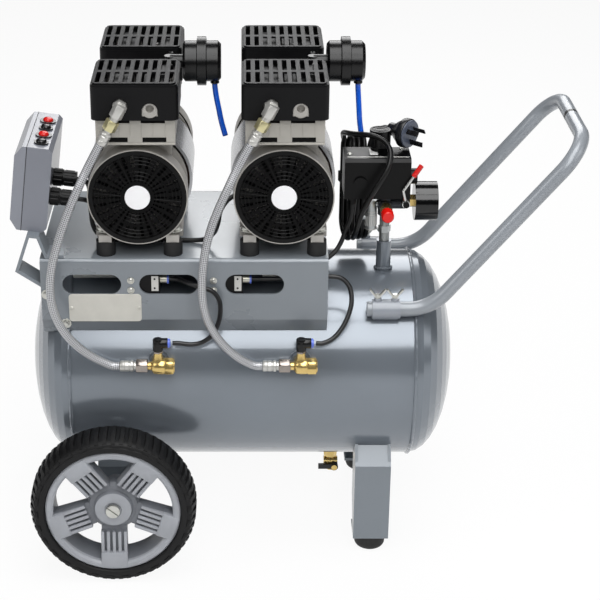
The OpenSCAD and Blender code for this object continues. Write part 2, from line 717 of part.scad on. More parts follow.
// A cable gland on a wall: nut and dome outside, stem through it and lock nut inside
module gland(r, len, hole, stem_r, wall) difference() {
    union() {
        cylinder(r = r, h = len * 0.45, $fn = 6);
        cylinder(r = r * 0.86, h = len, $fn = 40);
        translate([0, 0, -wall - 5]) cylinder(r = stem_r, h = wall + 6, $fn = 40);
        translate([0, 0, -wall - 4 - touch]) cylinder(r = stem_r + 2, h = 4 - touch, $fn = 6);
    }
    translate([0, 0, -20]) cylinder(d = hole + 2 * slide_gap, h = len + 30, $fn = 32);
}

module cable_glands() color([0.07, 0.07, 0.07]) {
    in_box() for (i = [0, 1]) translate([box_w / 2 + touch, gland_y[i], gland_z[i]])
        rotate([0, 90, 0]) gland(gland_d / 2, gland_len - touch, cable_d, gland_stem_r, box_wall);
    place() {
        translate([lead_gland[0], lead_gland[1], switch_z - touch]) rotate([180, 0, 0])
            gland(7, 18, lead_d, lead_stem_r, base_plate_t);
        translate([cable_gland[0], cable_gland[1], switch_z - touch]) rotate([180, 0, 0])
            gland(6.5, 10, cable_d, lead_stem_r, base_plate_t);
    }
}

module motor_cable_left() color([0.05, 0.05, 0.05]) place() tube(cable_left, cable_d);
module motor_cable_right() color([0.05, 0.05, 0.05]) place() tube(cable_right, cable_d);
module switch_cable() color([0.05, 0.05, 0.05]) place() tube(cable_switch, cable_d);

// ---------------------------------------------------------------- motor units

module motor_shells() color([0.32, 0.31, 0.30]) place() both_units()
    translate([0, -motor_len / 2, shaft_z]) difference() {
        union() {
            rod_y([0, 0, 0], motor_r, motor_len, 96);
            for (a = [-35, 35]) rotate([0, a, 0]) for (s = [0, 1])
                translate([0, 6 + s * (motor_len - 22), motor_r - 3]) block([-5, 0, 0], [5, 10, 8]);
        }
        rod_y([0, -1, 0], motor_r - motor_wall, motor_len + 2, 96);
    }

module stators() color([0.35, 0.24, 0.16]) place() both_units() translate([0, 0, shaft_z])
    difference() {
        union() {
            rod_y([0, -lamination_len / 2, 0], motor_r - motor_wall - touch, lamination_len, 96);
            rod_y([0, -lamination_len / 2 - winding_len, 0], motor_r - motor_wall - 5,
                lamination_len + 2 * winding_len);
        }
        rod_y([0, -lamination_len, 0], rotor_r + air_gap, 2 * lamination_len, 96);
        both_sides() rod_y([0, lamination_len / 2, 0], rotor_r + 6, lamination_len);
    }

// One shaft with its core, its two eccentrics and its two fans
module rotor(x) translate([x, 0, shaft_z]) {
    color([0.55, 0.55, 0.57]) {
        rod_y([0, -fan_y1, 0], shaft_r, 2 * fan_y1);
        rod_y([0, -lamination_len / 2, 0], rotor_r, lamination_len, 96);
        both_sides() rod_y([0, cylinder_y - rod_t / 2 + 0.5, -crank], eccentric_r, rod_t - 1);
    }
    color([0.12, 0.12, 0.13]) both_sides() {
        rod_y([0, fan_y0, 0], 17, fan_y1 - fan_y0);
        for (k = [0:fan_blades - 1]) rotate([0, 360 / fan_blades * k, 0])
            translate([15, (fan_y0 + fan_y1) / 2, 0]) rotate([38, 0, 0])
            block([0, -1, -8.5], [fan_d / 2 - 16, 1, 8.5]);
    }
}
module left_rotor() place() rotor(unit_xs[0]);
module right_rotor() place() rotor(unit_xs[1]);

// Crankcase: a box on lugs, open upwards to its cylinder, with the round flange
module crankcase() difference() {
    floor_z = base_z + base_h;
    union() {
        block([-case_half, case_y0, floor_z - 1], [case_half, case_y1, neck_z - touch]);
        rod_y([0, case_y1 - flange_t, shaft_z], flange_r, flange_t, 96);
        rod_y([0, case_y0, shaft_z], flange_r, bell_t, 96);
        block([-base_half, case_y0, base_z + touch], [base_half, case_y1, floor_z]);
        for (x = [-mount_x, mount_x])
            block([x - 8, case_y1 - 8, base_z + touch], [x + 8, mount_y + 10, base_z + base_h - 2.5]);
    }
    block([-case_half + case_wall, case_y0 + case_wall, floor_z + case_wall],
        [case_half - case_wall, case_y1 - case_wall, neck_z + 10]);
    rod_y([0, case_y0 - 1, shaft_z], shaft_r + shaft_gap, case_y1);
    for (x = [-mount_x, mount_x]) translate([x, mount_y, base_z - 1])
        cylinder(r = 4 + slide_gap, h = base_h + 4, $fn = 24);
}
module crankcases() color([0.42, 0.42, 0.43]) place() both_units() both_sides() crankcase();

// Cylinder: a neck over the crankcase, a floor slotted for the rod, and the bore
module cylinder_body() translate([0, cylinder_y, 0]) difference() {
    deep = block_half - 3.5;
    union() {
        block([-head_half, -cylinder_y + case_y0, neck_z], [head_half, case_y1 - cylinder_y, block_z + 1]);
        for (z = [block_z:8:cover_z - 9])
            block([-block_half, -deep + 6, z], [block_half, deep, z + 5]);
        block([-block_half + 4, -deep + 9, block_z], [block_half - 4, deep - 3, head_z - touch]);
    }
    translate([0, 0, block_z + 4]) cylinder(r = bore_r, h = 60, $fn = 64);
    block([-13, -rod_t / 2 - 2, neck_z - 1], [13, rod_t / 2 + 2, block_z + 10]);
}
module cylinders() color([0.30, 0.29, 0.28]) place() both_units() both_sides() cylinder_body();

// Piston with its rod and its wide big end
module piston() translate([0, cylinder_y, 0]) difference() {
    ring_z = shaft_z - crank;
    ring_r = big_end_r + big_end_wall;
    union() {
        translate([0, 0, crown_z]) cylinder(r = bore_r - slide_gap, h = crown_t, $fn = 64);
        rod_y([0, -rod_t / 2, ring_z], ring_r, rod_t);
        block([-8, -rod_t / 2, ring_z], [8, rod_t / 2, crown_z + 1]);
    }
    rod_y([0, -rod_t, ring_z], big_end_r, 2 * rod_t);
}
module left_pistons() color([0.7, 0.7, 0.68]) place() translate([unit_xs[0], 0, 0]) both_sides() piston();
module right_pistons() color([0.7, 0.7, 0.68]) place() translate([unit_xs[1], 0, 0]) both_sides() piston();

// Head: valve plate with fins, a bore for the hose fitting and a seat for the intake
module head() translate([0, cylinder_y, 0]) difference() {
    union() {
        block([-head_half, -head_half, head_z], [head_half, head_half, head_z + 8]);
        for (x = [-head_half:10:head_half - 4])
            block([x, -head_half, head_z + 7], [x + 4, head_half, fin_top]);
        block([fitting_x - 13, -head_half, head_z + 7], [fitting_x + 13, head_half, head_top - 2]);
        block([intake_x - 13, -head_half, head_z + 7], [head_half, 0, head_top]);
        rod_y([port_x, head_half - 8, port_z], port_r - slide_gap - 0.4, boss_y1 - head_half + 8);
        block([port_x - port_r + slide_gap + 0.4, head_half - 8, cover_z + 5.2],
            [port_x + port_r - slide_gap - 0.4, boss_y1, port_z]);
    }
    rod_y([port_x, boss_y1 - 8, port_z + 2.6], 4.9, 10);
    rod_y([fitting_x, head_half - 20, fitting_z], 6 + shaft_gap, 40);
    rod_y([fitting_x, -head_half - 1, fitting_z], link_r + shaft_gap, 20);
    rod_y([intake_x, -head_half - 1, intake_z], intake_r + shaft_gap, 20);
}
module cylinder_heads() color([0.40, 0.40, 0.41]) place() both_units() both_sides() head();

// Louvred cover over one head, open below, standing on four posts
module head_cover() translate([0, cylinder_y, 0]) {
    hx = cover_w / 2;
    hy = cover_depth / 2;
    w = cover_wall;
    difference() {
        union() {
            translate([0, 0, cover_z]) linear_extrude(cover_h - 4) round_rect(cover_w, cover_depth, 9);
            translate([0, 0, cover_top - 4.01]) linear_extrude(2.01)
                round_rect(cover_w - 1.6, cover_depth - 1.6, 8.5);
            translate([0, 0, cover_top - 2.01]) linear_extrude(2.01)
                round_rect(cover_w - 6, cover_depth - 6, 7);
        }
        translate([0, 0, cover_z - 1]) linear_extrude(cover_h - w - 1)
            round_rect(cover_w - 2 * w, cover_depth - 2 * w, 7);
        translate([0, 0, cover_top - w - 2.01]) linear_extrude(2.01)
            round_rect(cover_w - 2 * w - 6, cover_depth - 2 * w - 6, 6);
        for (i = [0:vents_per_row - 1], s = [-1, 1])
            translate([(i - (vents_per_row - 1) / 2) * vent_pitch, s * (hy / 2 - 1.8), cover_top - 10])
            linear_extrude(20) round_rect(5.8, hy - 11.6, 1.2);
        rod_y([fitting_x, hy - 10, fitting_z], 9, 20);
        rod_y([port_x, hy - 10, port_z], port_r, 20);
        block([port_x - port_r, hy - 10, cover_z + 4.5], [port_x + port_r, hy + 10, port_z]);
        rod_y([intake_x, -hy - 5, intake_z], intake_r + slide_gap + 1, 20);
        block([intake_x - intake_r - 1.3, -hy - 5, cover_z - 2],
            [intake_x + intake_r + 1.3, -hy + 8, intake_z]);
        rod_y([fitting_x, -hy - 5, fitting_z], link_r + slide_gap + 1, 20);
        block([fitting_x - link_r - 1.3, -hy - 5, cover_z - 2],
            [fitting_x + link_r + 1.3, -hy + 8, fitting_z]);
    }
    for (x = [-37, 22]) translate([x, 0, fin_top + slide_gap])
        cylinder(r = 2.4, h = cover_top - w + 0.5 - fin_top - slide_gap, $fn = 24);
}
module head_covers() color([0.13, 0.13, 0.13]) place() both_units() both_sides() head_cover();

// Fan guard: a cup with radial slots round a plain centre
module fan_guard() difference() {
    rod_y([0, guard_y0, shaft_z], guard_d / 2, guard_depth, 96);
    rod_y([0, guard_y0 - 1, shaft_z], guard_d / 2 - guard_wall, guard_depth - guard_wall + 1, 96);
    for (k = [0:29]) translate([0, guard_y1 - guard_wall - 1, shaft_z]) rotate([0, 12 * k, 0])
        block([21, 0, -1.2], [36, 10, 1.2]);
    for (k = [0:29]) translate([0, guard_y1 - guard_wall - 1, shaft_z]) rotate([0, 12 * k, 0])
        block([39, 0, -2.1], [guard_d / 2 - 7, 10, 2.1]);
}
module fan_guards() color([0.62, 0.62, 0.64]) place() both_units() both_sides() fan_guard();

// Air filter on its pipe, which reaches into both heads
module air_filter() {
    reach = cylinder_y - head_half + 14;
    difference() {
        union() {
            translate([filter_x, 0, filter_z]) rotate([0, 90, 0]) rotate_extrude($fn = 72)
                polygon([[0, 0], [22, 0], [filter_d / 2, 3], [filter_d / 2, 17], [filter_d / 2 + 5, 18],
                    [filter_d / 2 + 5, 29], [filter_d / 2, 30], [filter_d / 2, filter_len - 4],
                    [filter_d / 2 - 4, filter_len], [0, filter_len]]);
            rod_x([intake_x, 0, filter_z], 8.4, filter_x - intake_x + 1);
            rod_y([intake_x, -reach, intake_z], intake_r, 2 * reach);
            translate([intake_x, 0, intake_z - 9]) cylinder(r = 7, h = 18, $fn = 40);
            translate([blue_x, blue_y, filter_z - filter_d / 2 - 1])
                cylinder(r = blue_tube_d / 2 + 2, h = 4, $fn = 32);
        }
        rod_x([filter_x + 2.5, 0, filter_z], filter_d / 2 - 3, filter_len - 6);
        rod_x([intake_x, 0, filter_z], 5, filter_x - intake_x + 10);
        rod_y([intake_x, -reach - 1, intake_z], intake_r - 1.5, 2 * reach + 2);
        translate([blue_x, blue_y, filter_z - filter_d / 2 - 10])
            cylinder(r = blue_tube_d / 2 + shaft_gap, h = 20, $fn = 32);
    }
}
module air_filters() color([0.10, 0.10, 0.10]) place() both_units() air_filter();

module blue_tube_left() color([0.10, 0.25, 0.60]) place() tube(blue_left, blue_tube_d);
module blue_tube_right() color([0.10, 0.25, 0.60]) place() tube(blue_right, blue_tube_d);

// Silver hex and brass elbow at each front head, with the hose's crimped ferrule
module hose_fitting() translate([fitting_x, 0, fitting_z]) {
    rod_y([0, -fitting_y, 0], 6, fitting_y - cylinder_y - head_half + 16);
    rod_y([0, -fitting_y, 0], 9.5, 11.2, 6);
    translate([0, -fitting_y, 0]) {
        sphere(r = 9);
        rotate([0, -fitting_angle, 0]) rotate([0, 180, 0]) {
            rod_x([0, 0, 0], 7, 16);
            rod_x([10, 0, 0], 9, 12, 6);
            rod_x([21, 0, 0], 8, fitting_len - 21);
        }
    }
}
// Delivery pipe from the rear head to the front head
module head_link() rod_y([fitting_x, -(cylinder_y - head_half + 14), fitting_z], link_r,
    2 * (cylinder_y - head_half + 14));

module hose_fittings() color([0.72, 0.62, 0.38]) place() both_units() {
    hose_fitting();
    head_link();
}
module hose_left() color([0.45, 0.45, 0.47]) place() tube(route_hose_left, hose_d, 10);
module hose_right() color([0.45, 0.45, 0.47]) place() tube(route_hose_right, hose_d, 10);

// Check valve at the tank: ferrule, nut, body, vertical port and blue-collared elbow
module check_valve() translate([0, -valve_y, valve_z]) {
    rod_x([-48.3, 0, 0], 8, 20);
    rod_x([-28.6, 0, 0], 10, 16, 6);
    rod_x([-13, 0, 0], 10, 33, 6);
    rod_y([0, 0, 0], 6.5, valve_y - boss_y + 18);
    rod_y([0, 6, 0], 9, valve_y - boss_y - 6 - touch);
    cylinder(r = 6, h = 20, $fn = 40);
    translate([0, 0, 18]) cylinder(r = 6.6, h = 18, $fn = 40);
    rod_x([0, 0, 32], 6.6, 14);
    rod_x([13, 0, 32], 5, 5.5 - touch);
}
module check_valves() color([0.72, 0.60, 0.32]) place() for (x = valve_xs) translate([x, 0, 0]) check_valve();
module unloader_left() color([0.05, 0.05, 0.05]) place() tube(route_unloader_left, unloader_d);
module unloader_right() color([0.05, 0.05, 0.05]) place() tube(route_unloader_right, unloader_d);

// Solenoid valve on its plate behind the front skirt; x is the end of its tube fitting
module solenoid_valve(x) translate([x, -deck_y + deck_t + touch, slot_z]) {
    color([0.07, 0.07, 0.08]) block([-52, 0, -13.5], [-10, 2, 13.5]);
    color([0.07, 0.07, 0.08]) block([-32, 1.99, -12], [-10, 25, 12]);
    color([0.7, 0.7, 0.7]) block([-35, 1.99, -11], [-32, 24, 11]);
    color([0.72, 0.60, 0.32]) rod_x([-10.01, 11.4, 1.5], 5.2, 10.01 - touch);
}
module solenoid_valves() place() for (x = [-94, 10]) solenoid_valve(x);

module run_capacitors() color([0.85, 0.85, 0.82]) place() {
    z = deck_z - deck_t - capacitor_r - touch;
    rod_x([-215, -75, z], capacitor_r, 80, 64);
    rod_x([25, -75, z], capacitor_r, 69 - touch, 64);
}

// ---------------------------------------------------------------- pressure set

// Manifold block between riser, switch, gauge, coupler and safety valve
module manifold() color([0.16, 0.16, 0.16]) place() difference() {
    union() {
        rod_x([manifold_x0, riser_y, manifold_z], manifold_r, manifold_x1 - manifold_x0);
        translate([riser_x, riser_y, manifold_z - 16]) cylinder(r = 9.5, h = 14, $fn = 8);
        translate([riser_x, riser_y, manifold_z - 4]) cylinder(r = 9, h = 20 - touch, $fn = 48);
        rod_y([riser_x, riser_y - 11, safety_z], 8.5, 11);
    }
    translate([riser_x, riser_y, manifold_z - 17]) cylinder(r = riser_r + shaft_gap, h = 12, $fn = 40);
}

// Riser pipe, outlet coupler, brass body of the safety valve and gauge nipple
module pipe_fittings() place() {
    color([0.74, 0.74, 0.72]) {
        translate([riser_x, riser_y, socket_top - 10])
            cylinder(r = riser_r, h = manifold_z - 7 - socket_top + 10, $fn = 40);
        translate([riser_x, riser_y, socket_top + 12]) cylinder(r = 8, h = 9, $fn = 6);
    }
    color([0.78, 0.78, 0.77]) {
        difference() {
            union() {
                translate([coupler_x, riser_y, manifold_z - coupler_len])
                    cylinder(d = coupler_d, h = coupler_len + 4, $fn = 48);
                rod_x([coupler_x, riser_y, manifold_z - 1], 5, manifold_x0 - coupler_x - touch);
                rod_x([coupler_x - 11, riser_y, manifold_z - 20], 3.5, 10);
            }
            translate([coupler_x, riser_y, manifold_z - coupler_len - 1])
                cylinder(d = outlet_bore, h = coupler_len - 6, $fn = 40);
        }
    }
    color([0.72, 0.60, 0.32]) {
        difference() {
            rod_y([riser_x, switch_y0, safety_z], 7.6, riser_y - 11 - touch - switch_y0, 6);
            rod_y([riser_x, switch_y0 - 1, safety_z], pin_r + slide_gap, 16);
        }
        rod_x([manifold_x1 + touch, riser_y, gauge_z], 5.5, gauge_x - manifold_x1 - 2 * touch);
        rod_x([gauge_x - 6, riser_y, gauge_z], 8.5, 6 - touch, 6);
    }
}

module safety_knob() color([0.80, 0.10, 0.05]) place() {
    rod_y([riser_x, switch_y0 - 16, safety_z], 8, 16 - slide_gap);
    rod_y([riser_x, switch_y0 - 4, safety_z], pin_r, 15);
}

// Pressure switch: a base plate with its bellows housing under a hollow cover
module pressure_switch() color([0.06, 0.06, 0.06]) place() {
    x0 = switch_x - switch_len / 2;
    x1 = switch_x + switch_len / 2;
    y1 = switch_y0 + switch_depth;
    w = switch_wall;
    z0 = switch_z + base_plate_t + touch;
    z1 = switch_z + switch_h;
    difference() {
        union() {
            block([x0, switch_y0, switch_z], [x1, y1, switch_z + base_plate_t]);
            translate([riser_x, riser_y, switch_z]) cylinder(r = 15, h = 20, $fn = 48);
            block([lever_hub[0] - 5, switch_y0, lever_hub[2] - 6], [x1, switch_y0 + 6, switch_z + 1]);
            rod_y([lever_hub[0], lever_hub[1] - 4, lever_hub[2]], pin_r, 10);
            rod_y([lever_hub[0], lever_hub[1] - 6, lever_hub[2]], 4, 2);
        }
        translate([lead_gland[0], lead_gland[1], switch_z - 1])
            cylinder(r = lead_stem_r + shaft_gap, h = 10, $fn = 40);
        translate([cable_gland[0], cable_gland[1], switch_z - 1])
            cylinder(r = lead_stem_r + shaft_gap, h = 10, $fn = 40);
    }
    difference() {
        union() {
            along_x(x0, switch_len) polygon([[switch_y0, z0], [y1, z0], [y1, z1 - 3], [y1 - 3, z1],
                [switch_y0 + 4, z1], [switch_y0, z1 - 4]]);
            translate([knob_x, knob_y, z1 - 1]) cylinder(r = 11.5, h = 4.5, $fn = 48);
            rod_x([x1 - 1, riser_y - 5, switch_z + 22], 10, 11);
            rod_y([x0 + 20, switch_y0 - 3, switch_z + 22], 8, 5);
        }
        along_x(x0 + w, switch_len - 2 * w) polygon([[switch_y0 + w, z0 - 1], [y1 - w, z0 - 1],
            [y1 - w, z1 - 3 - w], [y1 - 3 - w, z1 - w], [switch_y0 + 4 + w, z1 - w],
            [switch_y0 + w, z1 - 4 - w]]);
        translate([knob_x, knob_y, z1 - 10]) cylinder(r = 5 + slide_gap, h = 20, $fn = 40);
    }
}

module on_off_knob() color([0.06, 0.06, 0.06]) place() translate([knob_x, knob_y, 0]) {
    top = switch_z + switch_h;
    difference() {
        translate([0, 0, top + 4.5]) cylinder(d = knob_d, h = 23, $fn = 48);
        translate([0, 0, top + 24.5]) cylinder(d = knob_d - 8, h = 5, $fn = 48);
    }
    translate([0, 0, top - 20]) cylinder(r = 5, h = 26, $fn = 40);
    translate([0, 0, top - switch_wall - knob_travel - 6]) cylinder(r = 7.5, h = 4, $fn = 40);
}

// Gauge: a deep case, open towards its lens, with a bearing for the needle
module pressure_gauge() color([0.08, 0.08, 0.08]) place() translate([gauge_x, riser_y, gauge_z])
    difference() {
        union() {
            difference() {
                rod_x([0, 0, 0], gauge_d / 2, gauge_depth, 72);
                rod_x([gauge_depth - 9, 0, 0], gauge_d / 2 - gauge_wall, 20, 72);
            }
            rod_x([gauge_depth - 10, 0, 0], 3, 3);
        }
        rod_x([gauge_depth - 20, 0, 0], 1 + shaft_gap, 30, 24);
    }

module gauge_needle() color([0.75, 0.08, 0.07]) place() translate([gauge_x + gauge_depth, riser_y, gauge_z]) {
    rod_x([-18, 0, 0], 1, 13, 24);
    rod_x([-6.6, 0, 0], 2.4, 1.8);
    rotate([135, 0, 0]) block([-6.4, -0.7, -5], [-5.4, 0.7, needle_r]);
}

// A rod along X between two heights, from p with the direction d given in X and Z
module rod_xz(p, d, r, len) translate([p[0], 0, p[1]]) rotate([0, 90 - atan2(d[1], d[0]), 0])
    cylinder(r = r, h = len, $fn = 32);

// Bent lever on its pin, with a sleeve on its end
module valve_lever() place() translate(lever_hub) {
    d0 = lever_line[1] - lever_line[0];
    d1 = lever_line[2] - lever_line[1];
    bare = norm(d1) - sleeve_len;
    color([0.78, 0.78, 0.78]) difference() {
        union() {
            rod_y([0, -3.6, 0], 5, 7);
            rod_xz(lever_line[0], d0, lever_r, norm(d0));
            translate([lever_line[1][0], 0, lever_line[1][1]]) sphere(r = lever_r + 0.1, $fn = 32);
            rod_xz(lever_line[1], d1, lever_r, bare);
        }
        rod_y([0, -10, 0], pin_r + shaft_gap, 20);
    }
    color([0.80, 0.10, 0.05])
        rod_xz(lever_line[1] + d1 / norm(d1) * (bare + touch), d1, sleeve_r, sleeve_len);
}

// ---------------------------------------------------------------- mains lead

module power_cord() color([0.04, 0.04, 0.04]) place() tube(lead_to_hank, lead_d);
module power_cord_tail() color([0.04, 0.04, 0.04]) place() tube(lead_to_plug, lead_d);

// Outer shape of the folded lead: two round folds joined by straight runs
module power_cord_hank() color([0.04, 0.04, 0.04]) place()
    translate([hank_x, hank_y, 0]) rotate([0, 0, hank_turn])
    along_y(-hank_turns * lead_d / 2, hank_turns * lead_d) translate([0, hank_z])
    rotate(90) stadium(hank_h, 2 * hank_r + lead_d);

module power_plug() place() translate(plug_face) rotate([0, 0, plug_turn]) {
    color([0.10, 0.10, 0.11]) {
        rod_x([-12, 0, 0], plug_r, 10);
        translate([-12, 0, 0]) rotate([0, -90, 0]) cylinder(r1 = plug_r - 2, r2 = 9, h = 11, $fn = 48);
        rod_x([-33, 0, 0], 8, 12);
    }
    color([0.22, 0.23, 0.30]) rod_x([-2, 0, 0], plug_r - 1, 2);
    color([0.10, 0.10, 0.10]) {
        for (s = [-1, 1]) translate([0, 7 * s, 5]) rotate([30 * s, 0, 0])
            block([-1, -0.8, -3.2], [17, 0.8, 3.2]);
        block([-1, -0.8, -13.4], [19, 0.8, -7]);
    }
}

// ---------------------------------------------------------------- drain

module drain_valve() color([0.72, 0.60, 0.32]) place() {
    p = drain_pivot;
    translate([drain_x, 0, p[2] - 11.5]) cylinder(r = 4.5, h = 12, $fn = 40);
    translate([drain_x, 0, p[2]]) cylinder(r = 5, h = boss_z + 12 - p[2], $fn = 40);
    translate([drain_x, 0, boss_z - 10]) cylinder(r = 9, h = 10 - touch, $fn = 6);
    rod_x([drain_x - 9, 0, p[2]], 8, 19);
    rod_y([p[0], p[1] - 4, p[2]], pin_r, 10);
    rod_y([p[0], p[1] - 5.5, p[2]], 4, 1.5);
}

module drain_lever() color([0.05, 0.05, 0.05]) place() translate(drain_pivot) difference() {
    union() {
        rod_y([0, -3.5, 0], 5.5, 6);
        block([-22, -2.5, -3.5], [0, 1.5, 3.5]);
    }
    rod_y([0, -10, 0], pin_r + shaft_gap, 20);
}

tank_shell();
motor_deck();
wheel_brackets();
leg_brackets();
rubber_feet();
motor_mounts();
axle_bolts();
front_tyre();
front_rim();
rear_tyre();
rear_rim();
handle_tube();
handle_clamps();
control_box_base();
control_box_lid();
box_bracket();
red_button_1();
black_button_1();
red_button_2();
black_button_2();
cable_glands();
motor_cable_left();
motor_cable_right();
switch_cable();
crankcases();
motor_shells();
stators();
left_rotor();
right_rotor();
left_pistons();
right_pistons();
cylinders();
cylinder_heads();
head_covers();
fan_guards();
air_filters();
blue_tube_left();
blue_tube_right();
hose_fittings();
hose_left();
hose_right();
check_valves();
unloader_left();
unloader_right();
solenoid_valves();
run_capacitors();
pipe_fittings();
manifold();
pressure_switch();
on_off_knob();
pressure_gauge();
gauge_needle();
safety_knob();
valve_lever();
power_cord();
power_cord_tail();
power_cord_hank();
power_plug();
drain_valve();
drain_lever();
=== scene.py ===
"""A twin-motor portable air compressor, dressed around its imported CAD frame.

The machine's sizes are written in millimetres; meshes, shader planes and the studio are in metres.
"""
import json
import math

import bpy
from mathutils import Matrix, Vector

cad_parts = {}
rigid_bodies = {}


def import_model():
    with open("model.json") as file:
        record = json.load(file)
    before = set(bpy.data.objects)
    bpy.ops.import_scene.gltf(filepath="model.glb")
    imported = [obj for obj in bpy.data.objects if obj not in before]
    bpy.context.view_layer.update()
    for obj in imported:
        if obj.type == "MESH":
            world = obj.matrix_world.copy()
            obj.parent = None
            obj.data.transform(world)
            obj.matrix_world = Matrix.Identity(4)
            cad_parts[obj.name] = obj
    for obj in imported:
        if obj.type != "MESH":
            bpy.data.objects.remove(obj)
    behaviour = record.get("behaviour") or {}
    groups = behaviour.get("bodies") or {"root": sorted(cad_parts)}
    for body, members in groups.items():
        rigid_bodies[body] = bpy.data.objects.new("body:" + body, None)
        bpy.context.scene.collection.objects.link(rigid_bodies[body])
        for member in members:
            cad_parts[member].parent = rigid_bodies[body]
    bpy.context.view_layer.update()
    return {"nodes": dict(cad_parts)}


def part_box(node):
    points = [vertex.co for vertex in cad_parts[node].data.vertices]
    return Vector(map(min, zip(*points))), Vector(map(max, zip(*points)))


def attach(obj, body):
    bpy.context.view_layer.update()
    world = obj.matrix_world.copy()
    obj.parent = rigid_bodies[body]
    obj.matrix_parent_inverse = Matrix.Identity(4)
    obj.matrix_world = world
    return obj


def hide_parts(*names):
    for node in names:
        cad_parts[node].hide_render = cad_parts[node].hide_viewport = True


for leftover in list(bpy.data.objects):
    bpy.data.objects.remove(leftover)
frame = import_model()
X, Y, Z = (1, 0, 0), (0, 1, 0), (0, 0, 1)
FRONT = (0, -1, 0)

# ---- camera
# A long lens a little above the head covers, square to the side with the hoses. The machine
# stands left of the lens axis, so the lens is shifted instead of turned.


def middle_of(node):
    """The centre of a CAD piece's box."""
    low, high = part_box(node)
    return (low + high) / 2


tank_x = middle_of("tank_shell").x
bpy.ops.object.camera_add(location=(tank_x, -2.0434, 1.2602), rotation=(math.radians(65.07), 0, 0))
bpy.context.scene.camera = bpy.context.object
lens = bpy.context.object.data
lens.sensor_width = 36
lens.lens = 101.106
lens.shift_x = 0.0955
lens.shift_y = 0.00583

# ---- delivery hoses
# Two PTFE hoses in a plaited stainless jacket carry the air from the front heads to the tank's
# check valves. They hang in one wide bow between two crimped ends.


def at(x, y, z):
    """A point given in millimetres from the tank's middle line."""
    return Vector((x / 1000 + tank_x, y / 1000, z / 1000))


def mm(x, y, z):
    """A step or a point in a piece's own frame, given in millimetres."""
    return Vector((x, y, z)) / 1000


def shade(colour):
    """A colour as it is seen on a screen, 0 to 255, as the shader wants it."""
    return [(c / 255) ** 2.2 for c in colour]


def number(material, operation, first, second=0):
    """One sum in a finish, between sockets or plain numbers."""
    node = material.node_tree.nodes.new("ShaderNodeMath")
    node.operation = operation
    for socket, value in zip(node.inputs, (first, second)):
        if isinstance(value, (int, float)):
            socket.default_value = value
        else:
            material.node_tree.links.new(value, socket)
    return node.outputs["Value"]


def noise(material, scale, detail):
    """A noise that is fixed to the piece."""
    nodes = material.node_tree.nodes
    place = nodes.new("ShaderNodeTexCoord")
    node = nodes.new("ShaderNodeTexNoise")
    node.inputs["Scale"].default_value = scale
    node.inputs["Detail"].default_value = detail
    material.node_tree.links.new(place.outputs["Object"], node.inputs["Vector"])
    return node.outputs["Fac"]


def tones(material, socket, *stops):
    """A colour that follows a socket, through stops of (position, colour, amount)."""
    ramp = material.node_tree.nodes.new("ShaderNodeValToRGB")
    for element, (position, colour, amount) in zip(ramp.color_ramp.elements, stops):
        element.position = position
        element.color = (*[min(1, c * amount) for c in shade(colour)], 1)
    material.node_tree.links.new(socket, ramp.inputs["Fac"])
    return ramp.outputs["Color"]


def finish(name, colour, rough, metal=0.0, drift=0.08, patch=24.0, grain=1600.0, relief=0.10,
           shine=0.5, coat=0.0):
    """A finish whose tone drifts in soft patches, with a fine grain in its gloss and surface."""
    material = bpy.data.materials.new(name)
    material.use_nodes = True
    nodes, links = material.node_tree.nodes, material.node_tree.links
    shader = nodes["Principled BSDF"]
    for socket, value in (("Metallic", metal), ("Specular IOR Level", shine), ("Coat Weight", coat)):
        shader.inputs[socket].default_value = value
    patches = noise(material, patch, 6)
    drifting = tones(material, patches, (0.34, colour, 1 - drift), (0.66, colour, 1 + drift))
    gloss = nodes.new("ShaderNodeMapRange")
    gloss.inputs["To Min"].default_value = rough * 0.82
    gloss.inputs["To Max"].default_value = min(1, rough * 1.2)
    bump = nodes.new("ShaderNodeBump")
    bump.inputs["Strength"].default_value = relief
    bump.inputs["Distance"].default_value = 0.0004
    links.new(drifting, shader.inputs["Base Color"])
    links.new(patches, gloss.inputs["Value"])
    links.new(gloss.outputs["Result"], shader.inputs["Roughness"])
    links.new(noise(material, grain, 3), bump.inputs["Height"])
    links.new(bump.outputs["Normal"], shader.inputs["Normal"])
    return material


def route(points, parts=6):
    """A smooth line through a hose's points, which are in millimetres from the tank's middle."""
    knots = [at(*p) for p in points]
    knots = [2 * knots[0] - knots[1], *knots, 2 * knots[-1] - knots[-2]]
    line = []
    for a, b, c, d in zip(knots, knots[1:], knots[2:], knots[3:]):
        for t in (k / parts for k in range(parts)):
            line.append(0.5 * (2 * b + (c - a) * t + (2 * a - 5 * b + 4 * c - d) * t * t
                               + (3 * b - a - 3 * c + d) * t ** 3))
    return [*line, knots[-2]]


def run_of(line):
    """The length of a line."""
    return sum((b - a).length for a, b in zip(line, line[1:]))


